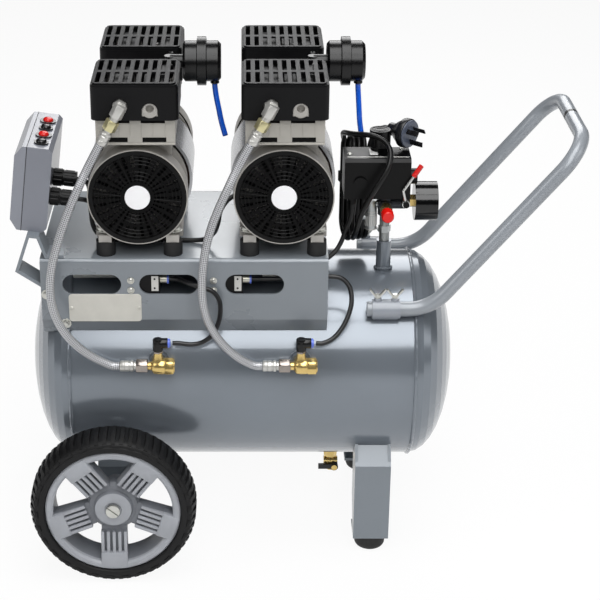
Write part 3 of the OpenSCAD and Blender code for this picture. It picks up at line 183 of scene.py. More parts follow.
def hose(name, line, diameter, material, sides=16):
    """A round tube along a line, closed at both ends, with its own map round and along it."""
    corners, out = [], Vector((0.3, 1, 0.2))
    for before, point, after in zip([line[0], *line], line, [*line[1:], line[-1]]):
        way = (after - before).normalized()
        out = (out - out.dot(way) * way).normalized()
        side = way.cross(out)
        corners += [point + diameter / 2 * (math.cos(a) * out + math.sin(a) * side)
                    for a in (2 * math.pi * k / sides for k in range(sides))]
    last = len(corners) - sides
    walls = [(i + k, i + (k + 1) % sides, i + sides + (k + 1) % sides, i + sides + k)
             for i in range(0, last, sides) for k in range(sides)]
    ends = [tuple(range(sides - 1, -1, -1)), tuple(range(last, last + sides))]
    mesh = bpy.data.meshes.new(name)
    mesh.from_pydata(corners, [], walls + ends)
    run = [run_of(line[:i + 1]) for i in range(len(line))]
    mapped = mesh.uv_layers.new(name="UVMap").data
    for f, face in enumerate(mesh.polygons):
        face.use_smooth = f < len(walls)
        for corner in face.loop_indices:
            v = mesh.loops[corner].vertex_index
            seam = f < len(walls) and f % sides == sides - 1 and v % sides == 0
            mapped[corner].uv = (1.0 if seam else v % sides / sides, run[v // sides])
    mesh.materials.append(material)
    piece = bpy.data.objects.new(name, mesh)
    bpy.context.collection.objects.link(piece)
    return piece


def cords(diameter, material, slot, far_end, stiffness, lay, *runs):
    """Cords of one kind, each with its name, its points and the CAD piece that it stands for."""
    for name, points, node in runs:
        line = route(points)
        piece = hose(name, line, diameter, material)
        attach(piece, "base")
        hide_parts(node)


def plaited(name, turns=7, pitch=0.034):
    """A jacket of fine steel wires that cross each other round the hose."""
    material = finish(name, (196, 196, 198), 0.34, metal=0.55, drift=0.05)
    nodes, links = material.node_tree.nodes, material.node_tree.links
    split = nodes.new("ShaderNodeSeparateXYZ")
    links.new(nodes.new("ShaderNodeUVMap").outputs["UV"], split.inputs["Vector"])
    around = number(material, "MULTIPLY", split.outputs["X"], turns * 2 * math.pi)
    along = number(material, "MULTIPLY", split.outputs["Y"], turns * 2 * math.pi / pitch)
    one = number(material, "SINE", number(material, "ADD", around, along))
    other = number(material, "SINE", number(material, "SUBTRACT", around, along))
    high = number(material, "MULTIPLY_ADD", number(material, "MULTIPLY", one, other), 0.5)
    nodes[-1].inputs[2].default_value = 0.5
    wires = tones(material, high, (0.12, (60, 61, 66), 1), (0.62, (204, 205, 208), 1))
    links.new(wires, nodes["Principled BSDF"].inputs["Base Color"])
    nodes["Bump"].inputs["Strength"].default_value = 0.6
    links.new(high, nodes["Bump"].inputs["Height"])
    return material


HOSE_LEFT = [
    [-170, -141, 586], [-178, -141, 571], [-188, -144, 552], [-198, -151, 532], [-208, -154, 510],
    [-217, -157, 487], [-225, -159, 463], [-232, -160, 438], [-236, -160, 412], [-236, -159, 387],
    [-231, -157, 363], [-221, -155, 341], [-206, -152, 321], [-188, -149, 305], [-171, -147.5, 295],
    [-163, -147.5, 292], [-155, -147.5, 292]]
HOSE_RIGHT = [
    [10, -141, 586], [2, -141, 571], [-8, -144, 552], [-18, -151, 532], [-28, -154, 510],
    [-37, -157, 487], [-44, -159, 462], [-48, -160, 436], [-50, -160, 410], [-49, -159, 385],
    [-44, -157, 361], [-34, -155, 339], [-20, -152, 319], [-5, -149, 304], [9, -147.5, 295],
    [17, -147.5, 292], [25, -147.5, 292]]
cords(0.0105, plaited("steel_plait"), "braid", "object", "medium", "hanging",
      ("braided_hose_left", HOSE_LEFT, "hose_left"), ("braided_hose_right", HOSE_RIGHT, "hose_right"))

# ---- unloader tubes
# Two thin black polyamide tubes let the start-up air out of the check valves. Each goes from
# its push-in elbow through the slot in the front skirt to a solenoid valve.
UNLOADER_LEFT = [
    [-88, -147.5, 324], [-80, -147.5, 324], [-64, -147, 322], [-50, -146, 325], [-38, -144, 334],
    [-31, -140, 347], [-28, -136, 361], [-29, -133, 375], [-36, -130, 386], [-47, -128.5, 391],
    [-58, -126.5, 393.5], [-67, -120.5, 394], [-75, -113, 394], [-82, -107.5, 394],
    [-88, -106, 394], [-94, -106, 394]]
UNLOADER_RIGHT = [
    [92, -147.5, 324], [101, -147.5, 324], [114, -143, 329], [125, -136, 340], [133, -128, 354],
    [137, -120, 369], [135, -112, 384], [126, -107, 394], [112, -106, 397], [90, -106, 396],
    [60, -106, 395], [35, -106, 394], [20, -106, 394], [10, -106, 394]]
black_tube = finish("black_tube", (22, 22, 24), 0.32, drift=0.15, relief=0.05)
cords(0.006, black_tube, "black_cord", "object", "stiff", "loose",
      ("unloader_tube_left", UNLOADER_LEFT, "unloader_left"),
      ("unloader_tube_right", UNLOADER_RIGHT, "unloader_right"))

# ---- blue condensate tubes
# A short blue polyurethane tube hangs below each air filter and ends in the air, cut square.
BLUE_LEFT = [
    [-35, -6, 625], [-35, -6, 615], [-33, -7, 600], [-30, -9, 585], [-27, -11, 570], [-22, -14, 552]]
BLUE_RIGHT = [
    [145, -6, 625], [145, -6, 615], [146, -8, 600], [147, -11, 585], [148, -13, 571], [150, -16, 557]]
blue_tube = finish("blue_tube", (14, 88, 205), 0.22, drift=0.12, relief=0.04, coat=0.4)
cords(0.007, blue_tube, "blue_hose", "bare", "stiff", "hanging",
      ("condensate_tube_left", BLUE_LEFT, "blue_tube_left"),
      ("condensate_tube_right", BLUE_RIGHT, "blue_tube_right"))

# ---- wiring
# Rubber cables: one from the control box to each motor, and one from the pressure switch down
# under the saddle. The right motor's cable lies along the saddle's top between the mounts.
CABLE_LEFT = [
    [-215.5, -92, 497.7], [-203, -92, 496.2], [-197, -90, 494.5], [-193, -84, 491],
    [-190.5, -76, 488], [-186.5, -68, 485], [-181, -62, 483], [-179, -58, 483], [-179, -54, 483]]
CABLE_RIGHT = [
    [-213.5, -64, 512.6], [-200.5, -64, 511], [-195, -64, 507], [-192.5, -64, 499], [-192, -64, 485],
    [-191.5, -64, 466], [-189.5, -64, 449], [-183, -64, 437], [-171, -64, 430.5], [-156, -64, 430],
    [-130, -64, 430], [-95, -64, 430], [-60, -66, 430], [-46, -70, 434], [-36, -74, 444],
    [-31, -77, 458], [-28, -78, 474], [-20, -76, 487], [-10, -71, 493], [-4, -65, 495],
    [-3, -60, 495], [-3, -54, 495]]
CABLE_SWITCH = [
    [139, -45, 474], [139, -45, 464], [137, -45, 450], [132, -46, 436], [127, -49, 422],
    [120, -54, 411], [110, -61, 404], [101, -66, 403], [94, -66, 403]]
black_cable = finish("black_cable", (20, 20, 21), 0.5, drift=0.2, relief=0.12)
cords(0.006, black_cable, "black_cord", "object", "medium", "loose",
      ("motor_lead_left", CABLE_LEFT, "motor_cable_left"),
      ("motor_lead_right", CABLE_RIGHT, "motor_cable_right"),
      ("switch_lead", CABLE_SWITCH, "switch_cable"))

# ---- mains lead
# The lead comes down out of its gland, loops up in front of the pressure switch and over its
# top, is folded into a hank of four turns behind, and ends in the plug beside the knob.
LEAD_OUT = [
    [141, -18, 466], [141, -19, 455], [141, -24, 441], [141, -34, 431], [141, -46, 427],
    [141, -59, 431], [143, -69, 442], [146, -74, 457], [151, -76, 474], [159, -76, 491],
    [168, -76, 507], [177, -74, 522], [183, -68, 536], [184, -58, 547], [179, -47, 554],
    [170, -40, 558], [161, -35, 559.5], [151, -30, 559], [142.5, -23, 557], [136, -13, 554.5],
    [132, -2, 551.5], [130, 9, 548], [129.6, 20, 543], [130.6, 29.5, 536.5]]
LEAD_TO_PLUG = [
    [163, 4.5, 527], [164.5, 5, 536.5], [168.5, 6, 545.5], [174.7, 6.6, 552.7], [181.6, 4.2, 556.4],
    [187.2, -0.7, 557]]
HANK_X, HANK_Y, HANK_TOP, HANK_FOOT, HANK_R = 147, 22, 518, 420, 21
HANK_LAYERS = (-10.5, -3.5, 3.5, 10.5)
HANK_RUN = (436.5, 452.5, 469.5, 485.5, 501.5)
HANK_TURN = math.radians(-75)


def hank():
    """Four turns side by side: round folds at the ends, straight runs between them."""
    points, before = [], HANK_LAYERS[0]
    for layer, depth in enumerate(HANK_LAYERS):
        for a in range(0 if layer else 150, 181, 15):
            shift = (depth - before) * min(1, a / 140)
            points.append([HANK_R * math.cos(math.radians(a)), before + shift,
                           HANK_TOP + HANK_R * math.sin(math.radians(a))])
        points += [[-HANK_R, depth, z] for z in HANK_RUN[::-1]]
        points += [[HANK_R * math.cos(math.radians(a)), depth,
                    HANK_FOOT + HANK_R * math.sin(math.radians(a))] for a in range(180, 361, 15)]
        points += [[HANK_R, depth, z] for z in HANK_RUN]
        before = depth
    points.append([HANK_R, before, HANK_TOP])
    c, s = math.cos(HANK_TURN), math.sin(HANK_TURN)
    return [[HANK_X + c * u - s * w, HANK_Y + s * u + c * w, z] for u, w, z in points]


mains_line = route([*LEAD_OUT, *hank(), *LEAD_TO_PLUG], parts=4)
lead_rubber = finish("lead_rubber", (12, 12, 13), 0.34, drift=0.2, relief=0.06, shine=0.35)
mains_lead = hose("mains_lead", mains_line, 0.007, lead_rubber)
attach(mains_lead, "base")
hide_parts("power_cord", "power_cord_hank", "power_cord_tail")

# ---- mains plug
# A moulded three-pin plug with two slanted flat pins and one upright. Its face is bare.


def alone(piece=None):
    """Nothing is selected but this piece."""
    bpy.ops.object.select_all(action="DESELECT")
    if piece:
        piece.select_set(True)
        bpy.context.view_layer.objects.active = piece


def rounded(piece, width, segments=2):
    """Its edges are bevelled, all over."""
    if width:
        alone(piece)
        bevel = piece.modifiers.new("edges", "BEVEL")
        bevel.width = width / 1000
        bevel.segments = segments
        bevel.limit_method = "ANGLE"
        bevel.angle_limit = math.radians(30)
        bpy.ops.object.modifier_apply(modifier="edges")
    return piece


def block(corner, opposite, edge=0.0, segments=2):
    """A block between two opposite corners."""
    alone()
    bpy.ops.mesh.primitive_cube_add(size=1, location=(corner + opposite) / 2,
                                    scale=[abs(reach) for reach in opposite - corner])
    bpy.ops.object.transform_apply(location=True, rotation=True, scale=True)
    return rounded(bpy.context.object, edge, segments)


def rod(start, end, radius, sides=40, edge=0.0, segments=2):
    """A round bar, or a hexagon with six sides, between two points."""
    alone()
    bpy.ops.mesh.primitive_cylinder_add(
        vertices=sides, radius=radius / 1000, depth=(end - start).length, location=(start + end) / 2,
        rotation=(end - start).to_track_quat("Z", "Y").to_euler())
    bpy.ops.object.transform_apply(location=True, rotation=True, scale=True)
    return rounded(bpy.context.object, edge, segments)


def turned(profile, centre, axis, steps=64, ring=False):
    """A profile of (radius, distance along the axis), spun round the axis as on a lathe."""
    centre, axis = Vector(centre), Vector(axis).normalized()
    side = axis.orthogonal().normalized()
    mesh = bpy.data.meshes.new("turned")
    edges = [(i, i + 1) for i in range(len(profile) - 1)] + ([(len(profile) - 1, 0)] if ring else [])
    mesh.from_pydata([centre + (r * side + h * axis) / 1000 for r, h in profile], edges, [])
    piece = bpy.data.objects.new("turned", mesh)
    bpy.context.collection.objects.link(piece)
    alone(piece)
    bpy.ops.object.mode_set(mode="EDIT")
    bpy.ops.mesh.select_all(action="SELECT")
    bpy.ops.mesh.spin(steps=steps, angle=2 * math.pi, center=centre, axis=axis)
    bpy.ops.mesh.select_all(action="SELECT")
    bpy.ops.mesh.remove_doubles(threshold=0.000002)
    bpy.ops.mesh.normals_make_consistent(inside=False)
    bpy.ops.object.mode_set(mode="OBJECT")
    return piece


def moved(piece, matrix):
    """The piece's mesh goes to another place."""
    piece.data.transform(matrix)
    if matrix.determinant() < 0:
        piece.data.flip_normals()
    return piece


def turn(angle, axis, centre=(0, 0, 0)):
    """A turn in degrees round an axis through the origin, and then a move to the centre."""
    return Matrix.Translation(centre) @ Matrix.Rotation(math.radians(angle), 4, axis)


def ring_of(piece, count, axis, centre=(0, 0, 0), first=0.0):
    """Copies of a piece, spread evenly round an axis that is then moved to the centre."""
    copies = []
    for k in range(count):
        twin = piece.copy()
        twin.data = piece.data.copy()
        bpy.context.collection.objects.link(twin)
        copies.append(moved(twin, turn(first + 360 * k / count, axis, centre)))
    bpy.data.objects.remove(piece)
    return copies


def joined(pieces):
    """Several pieces made one."""
    alone()
    for piece in pieces:
        piece.select_set(True)
    bpy.context.view_layer.objects.active = pieces[0]
    if len(pieces) > 1:
        bpy.ops.object.join()
    return pieces[0]


def dress(piece, name, material, slot, *nodes, body="base"):
    """The last step of a piece: its name, finish, shading and body, and the CAD it stands for. The slot is
    not used.
    """
    if isinstance(piece, list):
        piece = joined(piece)
    alone(piece)
    bpy.ops.object.shade_smooth_by_angle(angle=math.radians(35))
    piece.name = piece.data.name = name
    piece.data.materials.clear()
    piece.data.materials.append(material)
    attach(piece, body)
    if nodes:
        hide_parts(*nodes)
    return piece


plug_place = turn(-42, "Z", at(212, -23, 557))
plug_black = finish("plug_black", (26, 27, 30), 0.30, drift=0.10, relief=0.05)
plug_grey = finish("plug_grey", (74, 80, 94), 0.34, drift=0.06, relief=0.04)
pin_black = finish("pin_black", (30, 30, 32), 0.25, metal=0.3, drift=0.1, relief=0.03)
PLUG = [(0, -33), (7.2, -33), (8.2, -32), (8.5, -24), (12.5, -19), (16.5, -12.5), (18.6, -10.5), (19, -9),
        (19, -3.2), (18.4, -2.2), (0, -2.2)]
plug = [turned(PLUG, (0, 0, 0), X, 56)]
for x in (-31, -27.8, -24.6):
    plug.append(block(mm(x, -9.2, -1.8), mm(x + 1.5, 9.2, 1.8), 0.4, 1))
plug_body = dress(moved(joined(plug), plug_place), "plug_body", plug_black, "gloss_black", "power_plug")
FACE = [(0, -2.4), (17.2, -2.4), (17.8, -1.6), (17.4, -0.2), (16.8, 0), (10.8, 0), (10.4, -0.5),
        (0, -0.5)]
plug_face = dress(moved(turned(FACE, (0, 0, 0), X, 56), plug_place), "plug_face", plug_grey, "gloss_black")
pins = [block(mm(-1, -0.8, -13.4), mm(19, 0.8, -7), 0.4)]
for side in (-1, 1):
    pin = block(mm(-1, -0.8, -3.2), mm(17, 0.8, 3.2), 0.4)
    pins.append(moved(pin, turn(30 * side, "X", mm(0, 7 * side, 5))))
plug_pins = dress(moved(joined(pins), plug_place), "plug_pins", pin_black, "gloss_black")

# A flat tie of black hook-and-loop tape holds the hank's two runs together at its waist.
tie = []
for y in (14.1, -15.3):
    tie.append(block(mm(-25.7, y, 470), mm(25.7, y + 1.2, 484), 0.3, 1))
for x in (24.6, -25.7):
    tie.append(block(mm(x, -14.6, 470), mm(x + 1.1, 14.6, 484), 0.3, 1))
tie_place = Matrix.Translation(at(HANK_X, HANK_Y, 0)) @ Matrix.Rotation(HANK_TURN, 4, "Z")
tape_black = finish("tape_black", (16, 16, 17), 0.85, drift=0.25, grain=900, relief=0.5)
dress(moved(joined(tie), tie_place), "lead_tie", tape_black, "black_cord")
# The boot that guards the lead where it leaves its gland is a soft cone.
BOOT = [(3.6, 2), (5.8, 2), (5.8, -4), (4.4, -20), (3.6, -20)]
boot = turned(BOOT, at(141, -18, 466), (0, 0.045, 0.999), 32, ring=True)
dress(boot, "lead_boot", black_cable, "black_plastic")

# ---- tank
# A rolled steel barrel with two pressed ends, welded round both seams, under blue-grey
# enamel. Its sockets for the riser, the check valves and the drain are welded in.


def paint_on(name, colour, rough=0.30, flake=0.0):
    """Sprayed enamel: an even tone, a faint orange-peel surface and a glossy top layer."""
    material = finish(name, colour, rough, metal=flake, drift=0.035, patch=9, grain=420, relief=0.03,
                      coat=0.35)
    material.node_tree.nodes["Principled BSDF"].inputs["Coat Roughness"].default_value = 0.12
    return material


def give(material, *nodes):
    """CAD pieces get their finish."""
    for node in nodes:
        frame["nodes"][node].material_slots[0].material = material


def region(material, colour, rough, metal, *planes):
    """Where a finish lies beyond every given plane (direction, distance) it is of another kind."""
    nodes, links = material.node_tree.nodes, material.node_tree.links
    place = nodes.new("ShaderNodeTexCoord")
    inside = 1.0
    for direction, distance in planes:
        along = nodes.new("ShaderNodeVectorMath")
        along.operation = "DOT_PRODUCT"
        along.inputs[1].default_value = direction
        links.new(place.outputs["Object"], along.inputs[0])
        beyond = number(material, "GREATER_THAN", along.outputs["Value"], distance)
        inside = number(material, "MULTIPLY", inside, beyond)
    patches = nodes["Noise Texture"].outputs["Fac"]
    other = tones(material, patches, (0.34, colour, 0.92), (0.66, colour, 1.08))
    for socket, kind, value in (("Base Color", "RGBA", other), ("Roughness", "FLOAT", rough),
                                ("Metallic", "FLOAT", metal)):
        mix = nodes.new("ShaderNodeMix")
        mix.data_type = kind
        first, second, result = (6, 7, 2) if kind == "RGBA" else (2, 3, 0)
        here = nodes["Principled BSDF"].inputs[socket]
        if here.is_linked:
            links.new(here.links[0].from_socket, mix.inputs[first])
        else:
            mix.inputs[first].default_value = here.default_value
        if kind == "RGBA":
            links.new(value, mix.inputs[second])
        else:
            mix.inputs[second].default_value = value
        links.new(inside, mix.inputs["Factor"])
        links.new(mix.outputs[result], here)


enamel = paint_on("tank_enamel", (121, 128, 136), 0.20, 0.35)
give(enamel, "tank_shell")
give(paint_on("saddle_enamel", (124, 130, 136), 0.28, 0.15), "motor_deck")
give(paint_on("bracket_enamel", (122, 129, 136), 0.30, 0.15), "wheel_brackets", "leg_brackets", "box_bracket")


def bead(name, centre, axis, radius, width, ripples):
    """A weld bead round a joint, with the ripples that the torch leaves."""
    alone()
    bpy.ops.mesh.primitive_torus_add(
        major_segments=ripples * 4, minor_segments=10, major_radius=radius / 1000, minor_radius=width / 1000,
        location=centre, rotation=Vector(axis).to_track_quat("Z", "Y").to_euler())
    bpy.ops.object.transform_apply(location=True, rotation=True, scale=True)
    ring = bpy.context.object
    for i, corner in enumerate(ring.data.vertices):
        out = corner.co - centre
        out -= out.dot(Vector(axis)) * Vector(axis)
        corner.co += out.normalized() * 0.00028 * math.sin(i // 10 * math.pi / 2)
    dress(ring, name, enamel, "grey_paint")


for end, name in ((-221, "seam_bead_left"), (221, "seam_bead_right")):
    bead(name, at(end, 0, 241), X, 137.4, 2.4, 150)
for x, name in ((-106.5, "boss_bead_left"), (73.5, "boss_bead_right")):
    bead(name, at(x, -128.4, 292), Y, 12.8, 1.6, 24)
bead("socket_bead", at(183, -28, 376.2), (0, 0.2, 0.98), 10.4, 1.8, 24)
bead("drain_bead", at(122, 0, 103.2), Z, 10, 1.6, 22)

# ---- rating plate
# A bare aluminium plate with clipped corners, riveted to the front skirt of the saddle.
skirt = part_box("motor_deck")[0].y * 1000
plate = block(at(-218.7, skirt - 0.9, 341.8), at(-127.4, skirt - 0.05, 379.6))
alone(plate)
bpy.context.tool_settings.mesh_select_mode = (False, True, False)
for part in (*plate.data.vertices, *plate.data.polygons):
    part.select = False
for edge in plate.data.edges:
    a, b = (plate.data.vertices[v].co for v in edge.vertices)
    edge.select = abs(a.y - b.y) > 0.0005
bpy.ops.object.mode_set(mode="EDIT")
bpy.ops.mesh.bevel(offset=0.0044, segments=4)
bpy.ops.object.mode_set(mode="OBJECT")
plate_metal = finish("plate_metal", (204, 202, 194), 0.42, metal=0.25, drift=0.04, patch=60,
                     grain=2600, relief=0.08)
dress(rounded(plate, 0.25, 1), "rating_plate", plate_metal, "zinc_steel")


def dome(centre, axis, radius, height):
    """The low round head of a rivet or screw, closed below."""
    steps = [(radius * math.cos(a), height * math.sin(a)) for a in (math.pi / 10 * k for k in range(5))]
    return turned([(0, -0.2), (radius, -0.2), *steps, (0, height)], centre, axis, 20)


rivets = [dome(at(x, skirt - 0.9, 360.7), FRONT, 2.4, 1.2) for x in (-215.4, -130.7)]
dress(rivets, "plate_rivets", plate_metal, "zinc_steel")

# ---- saddle screws
# Cap screws with washers at the left end of the skirt, where the control box's bracket is
# held, and small pan heads that hold the solenoid valves behind the slots.


def bolt_head(centre, axis, size, height, washer=0.0):
    """A hexagon head with chamfered corners, over its washer."""
    step = mm(*axis)
    parts = [rod(centre, centre + step * height, size, 6, size * 0.09)]
    if washer:
        parts.append(rod(centre - step * 0.1, centre + step * 0.9, washer, 28, 0.2, 1))
    return joined(parts)


zinc = finish("bright_zinc", (196, 196, 190), 0.28, metal=0.85, drift=0.10, patch=90, grain=2200, relief=0.08)
screws = []
for x, z in ((-246, 379), (-223, 339)):
    screws.append(bolt_head(at(x, skirt - 0.1, z), FRONT, 4.6, 3.4, 6.6))
for x in (-140.1, -36.6):
    for z in (398, 384.8):
        screws.append(rod(at(x, skirt, z), at(x, skirt - 0.9, z), 4.6, 28, 0.3))
        screws.append(dome(at(x, skirt - 0.9, z), FRONT, 3.4, 1.8))
dress(screws, "saddle_screws", zinc, "zinc_steel")

# ---- feet and mounts
# Black rubber feet under the legs, and rubber buffers between the saddle and the motors with
# a nut on top of each stud.
rubber = finish("foot_rubber", (26, 26, 27), 0.62, drift=0.22, patch=40, grain=900, relief=0.25)
give(rubber, "rubber_feet", "motor_mounts")
unit_xs = (-129.2, 50.8)
nuts = []
for x in unit_xs:
    for stud_x in (x - 42, x + 42):
        for y in (-99.6, 99.6):
            nuts.append(rod(at(stud_x, y, 454.6), at(stud_x, y, 457.4), 5.2, 6, 0.4))
            nuts.append(rod(at(stud_x, y, 456), at(stud_x, y, 459), 2.4, 20, 0.3))
dress(nuts, "mount_nuts", zinc, "zinc_steel")

# ---- tyres
# Solid rubber tyres: a smooth wall, a ring of raised blocks on the shoulder and sixty bars
# across the tread.
tyre_rubber = finish("tyre_rubber", (24, 24, 25), 0.55, drift=0.22, patch=50, grain=700,
                     relief=0.35, shine=0.3)
BARS = 60
TREAD_R = 0.10679
HALF_WALL = [
    (86.85, -21.5), (88.8, -24.5), (91.5, -25), (95.2, -24.8), (96.2, -24),
    (99.6, -24), (101.6, -22.2), (103, -17), (103.7, -9)]
CARCASS = [*HALF_WALL, (103.9, 0), *[(r, -h) for r, h in HALF_WALL[::-1]]]


def on_axle(piece, side):
    """A wheel piece that is built round the Y axis goes to its axle."""
    axle = middle_of("front_tyre")
    return moved(piece, Matrix.Translation((axle.x, 0.175 * side, axle.z)))


def tread_bar():
    """One bar: it crosses the tread and turns down over both shoulders."""
    bar = block(mm(-3.1, -23.3, 102.25), mm(3.1, 23.3, 106.75))
    alone(bar)
    bpy.ops.object.mode_set(mode="EDIT")
    bpy.ops.mesh.select_all(action="SELECT")
    bpy.ops.mesh.subdivide(number_cuts=3)
    bpy.ops.object.mode_set(mode="OBJECT")
    for corner in bar.data.vertices:
        drop = 0.0052 * max(0, abs(corner.co.y) / 0.0233 - 0.5) ** 2 / 0.25
        if corner.co.z > 0.1044:
            corner.co.x *= 0.86
            corner.co.z = min(corner.co.z - drop, math.sqrt(TREAD_R ** 2 - corner.co.x ** 2))
        else:
            corner.co.x *= 1.08
            corner.co.z -= drop * 1.1
    return bar


for name, side, body, node in (("front_tread", -1, "front_wheel", "front_tyre"),
                               ("rear_tread", 1, "rear_wheel", "rear_tyre")):
    parts = [turned(CARCASS, (0, 0, 0), Y, 120, ring=True), *ring_of(tread_bar(), BARS, "Y", first=1.8)]
    for flip in (1, -1):
        tooth = block(mm(-3.4, -25, 96.6), mm(3.4, -23.6, 100.2), 0.4, 1)
        moved(tooth, Matrix.Diagonal((1.5, flip, 1, 1)))
        parts += ring_of(tooth, BARS // 2, "Y", first=3.6)
    dress(on_axle(joined(parts), side), name, tyre_rubber, "tyre_rubber", node, body=body)

# ---- wheel rims
# Moulded grey nylon: a deep rim, five spokes that each carry a ribbed pad, and a dished hub
# with a raised cap round the axle bolt.
rim_grey = finish("rim_nylon", (122, 125, 131), 0.42, drift=0.06, patch=30, grain=1100, relief=0.18)
# The outermost faces of the pads, rim and hub are painted a lighter grey as a painted highlight. The recessed
# web and spokes keep the darker grey as painted shade.
for side in (-1, 1):
    region(rim_grey, (160, 163, 169), 0.38, 0.0, ((0, side, 0), 0.1905))
RIM = [(76.9, -20.5), (79.5, -22.8), (84.5, -23), (86.6, -21.4), (86.6, 21), (84.5, 22), (76.9, 20.5),
       (76.9, 10), (75.2, 0), (76.9, -10)]
HUB = [(6.1, -16), (9.8, -16), (11.2, -17.6), (19, -17.6), (23.2, -16.2), (25, -13), (25.6, -10),
       (31, -8.5), (34.5, -4), (34.5, 4), (25, 8), (15.2, 11), (15, 49), (6.1, 49)]


def spoke():
    """One spoke that points down: web, sloping pad with five ribs, and its smooth outer block."""
    parts = [block(mm(-16.5, -15, -79), mm(16.5, 4, -28), 1),
             block(mm(-17.2, -23.8, -84.3), mm(17.2, -6, -62.5), 1.6)]
    for x in (-14.8, -7.4, 0, 7.4, 14.8):
        parts.append(block(mm(x - 2.1, -22.2, -64), mm(x + 2.1, -12, -33.5), 0.7))
    whole = joined(parts)
    for corner in whole.data.vertices:
        if corner.co.y < -0.0100:
            reach = (-corner.co.z - 0.030) / 0.050
            corner.co.y += 0.0062 * (1 - min(1, max(0, reach)))
    return whole


for name, side, body, node in (("front_wheel_rim", -1, "front_wheel", "front_rim"),
                               ("rear_wheel_rim", 1, "rear_wheel", "rear_rim")):
    whole = joined([turned(RIM, (0, 0, 0), Y, 120, ring=True), turned(HUB, (0, 0, 0), Y, 72, ring=True),
                    *ring_of(spoke(), 5, "Y")])
    if side > 0:
        moved(whole, Matrix.Diagonal((1, -1, 1, 1)))
    dress(on_axle(whole, side), name, rim_grey, "rim_plastic", node, body=body)
give(zinc, "axle_bolts")

# ---- handle
# One bent steel tube in the tank's enamel, which slides in two clamped sleeves. Zinc-plated
# wing screws lock it, and a thin black ring sits on the crossbar.
handle_enamel = paint_on("handle_enamel", (143, 148, 154), 0.32, 0.10)
region(handle_enamel, (12, 12, 12), 0.6, 0.0, (Y, 0.0), (FRONT, -0.0080),
       (X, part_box("handle_tube")[1].x - 0.03))
give(handle_enamel, "handle_tube")
clamp_enamel = paint_on("clamp_enamel", (142, 147, 155), 0.30)
region(clamp_enamel, (190, 190, 184), 0.3, 0.85, (Z, 0.3665))
give(clamp_enamel, "handle_clamps")

# ---- control box
# A pressed steel box in two halves on a folded strap, which leans towards the motors. A thin
# black gasket shows between base and lid.
box_place = turn(7, "Y", at(-267.6, -105, 458.8))
box_up = box_place.to_3x3() @ Vector(Z)
give(paint_on("lid_enamel", (131, 134, 143), 0.34), "control_box_lid")
box_enamel = paint_on("box_enamel", (120, 123, 132), 0.34)
region(box_enamel, (22, 22, 23), 0.35, 0.0, (tuple(box_up), box_place.translation.dot(box_up) + 0.11003))
give(box_enamel, "control_box_base")
seal = []
for y0, z0, y1, z1 in ((-0.3, -0.3, 0.6, 110.3), (133.4, -0.3, 134.3, 110.3),
                       (-0.3, 109.4, 134.3, 110.3), (-0.3, -0.3, 134.3, 0.6)):
    seal.append(block(mm(-8.9, y0, z0), mm(-8.1, y1, z1)))
dress(moved(joined(seal), box_place), "box_gasket", rubber, "black_rubber")

# ---- push buttons
# A black and a red button for each motor: round keys with a soft crown in black bezels.
button_red = finish("button_red", (206, 32, 28), 0.26, drift=0.05, relief=0.04)
button_black = finish("button_black", (24, 24, 26), 0.24, drift=0.10, relief=0.04)
KEY = [(0, -8.2), (8, -8.2), (8, -3.4), (6.5, -3), (6.5, 2.2), (6.1, 3.6), (5, 4.7), (3, 5.3), (0, 5.5)]
for name, y, colour, slot, node in (
        ("stop_key_1", 47, button_red, "red_plastic", "red_button_1"),
        ("stop_key_2", 101, button_red, "red_plastic", "red_button_2"),
        ("start_key_1", 20, button_black, "gloss_black", "black_button_1"),
        ("start_key_2", 74, button_black, "gloss_black", "black_button_2")):
    key = moved(turned(KEY, mm(7, y, 110.2), Z, 40), box_place)
    dress(key, name, colour, slot, node, body=node)

# ---- cable glands
# Nylon glands with a fluted nut; a clamp of fingers closes on the cable inside the dome.
gland_nylon = finish("gland_nylon", (16, 16, 17), 0.34, drift=0.12, relief=0.06, shine=0.2)
give(gland_nylon, "cable_glands")
flutes = []
for y, z in ((13, 45), (41, 60)):
    flute = block(mm(24, -1.2, 8.8), mm(34.8, 1.2, 11.2), 0.6, 1)
    finger = block(mm(37.5, -1.4, 8), mm(50, 1.4, 10.1), 0.6, 1)
    flutes += [*ring_of(flute, 12, "X", mm(0, y, z)), *ring_of(finger, 12, "X", mm(0, y, z), 15)]
dress(moved(joined(flutes), box_place), "gland_flutes", gland_nylon, "black_plastic")

# ---- motors
# Die-cast crankcases on both ends of a rolled shell. The castings are bare and slightly
# rough, the shell is varnished, and the stator with its copper shows only through gaps.
SHAFT_Z = 507.1
CAST = (172, 169, 164)
casting = finish("raw_casting", CAST, 0.44, metal=0.35, drift=0.07, patch=45, grain=1500, relief=0.35)
give(casting, "crankcases")
# The tops of the heads show only through the louvres of the covers, so they are painted black as painted
# shade.
head_casting_painted_shade = finish("head_casting_painted_shade", CAST, 0.44, metal=0.35, drift=0.07, patch=45, grain=1500, relief=0.35)
region(head_casting_painted_shade, (26, 26, 27), 0.6, 0.0, (Z, 0.6385))
give(head_casting_painted_shade, "cylinder_heads")
give(finish("cylinder_casting", (170, 167, 160), 0.42, metal=0.30, drift=0.06, patch=45, grain=1500,
            relief=0.30), "cylinders")
give(finish("shell_varnish", (176, 177, 180), 0.22, metal=0.6, drift=0.07, patch=20, grain=600,
            relief=0.06), "motor_shells")
give(finish("stator_windings", (62, 40, 28), 0.4, metal=0.3, drift=0.25, patch=180, grain=900,
            relief=0.5), "stators")
fan_grey = finish("rotor_parts", (40, 41, 43), 0.4, drift=0.1)
region(fan_grey, (176, 176, 176), 0.3, 0.9, (Y, -0.0885), (FRONT, -0.0885))
give(fan_grey, "left_rotor", "right_rotor")
piston_alloy = finish("piston_alloy", (186, 184, 178), 0.32, metal=0.7, drift=0.06)
give(piston_alloy, "left_pistons", "right_pistons")
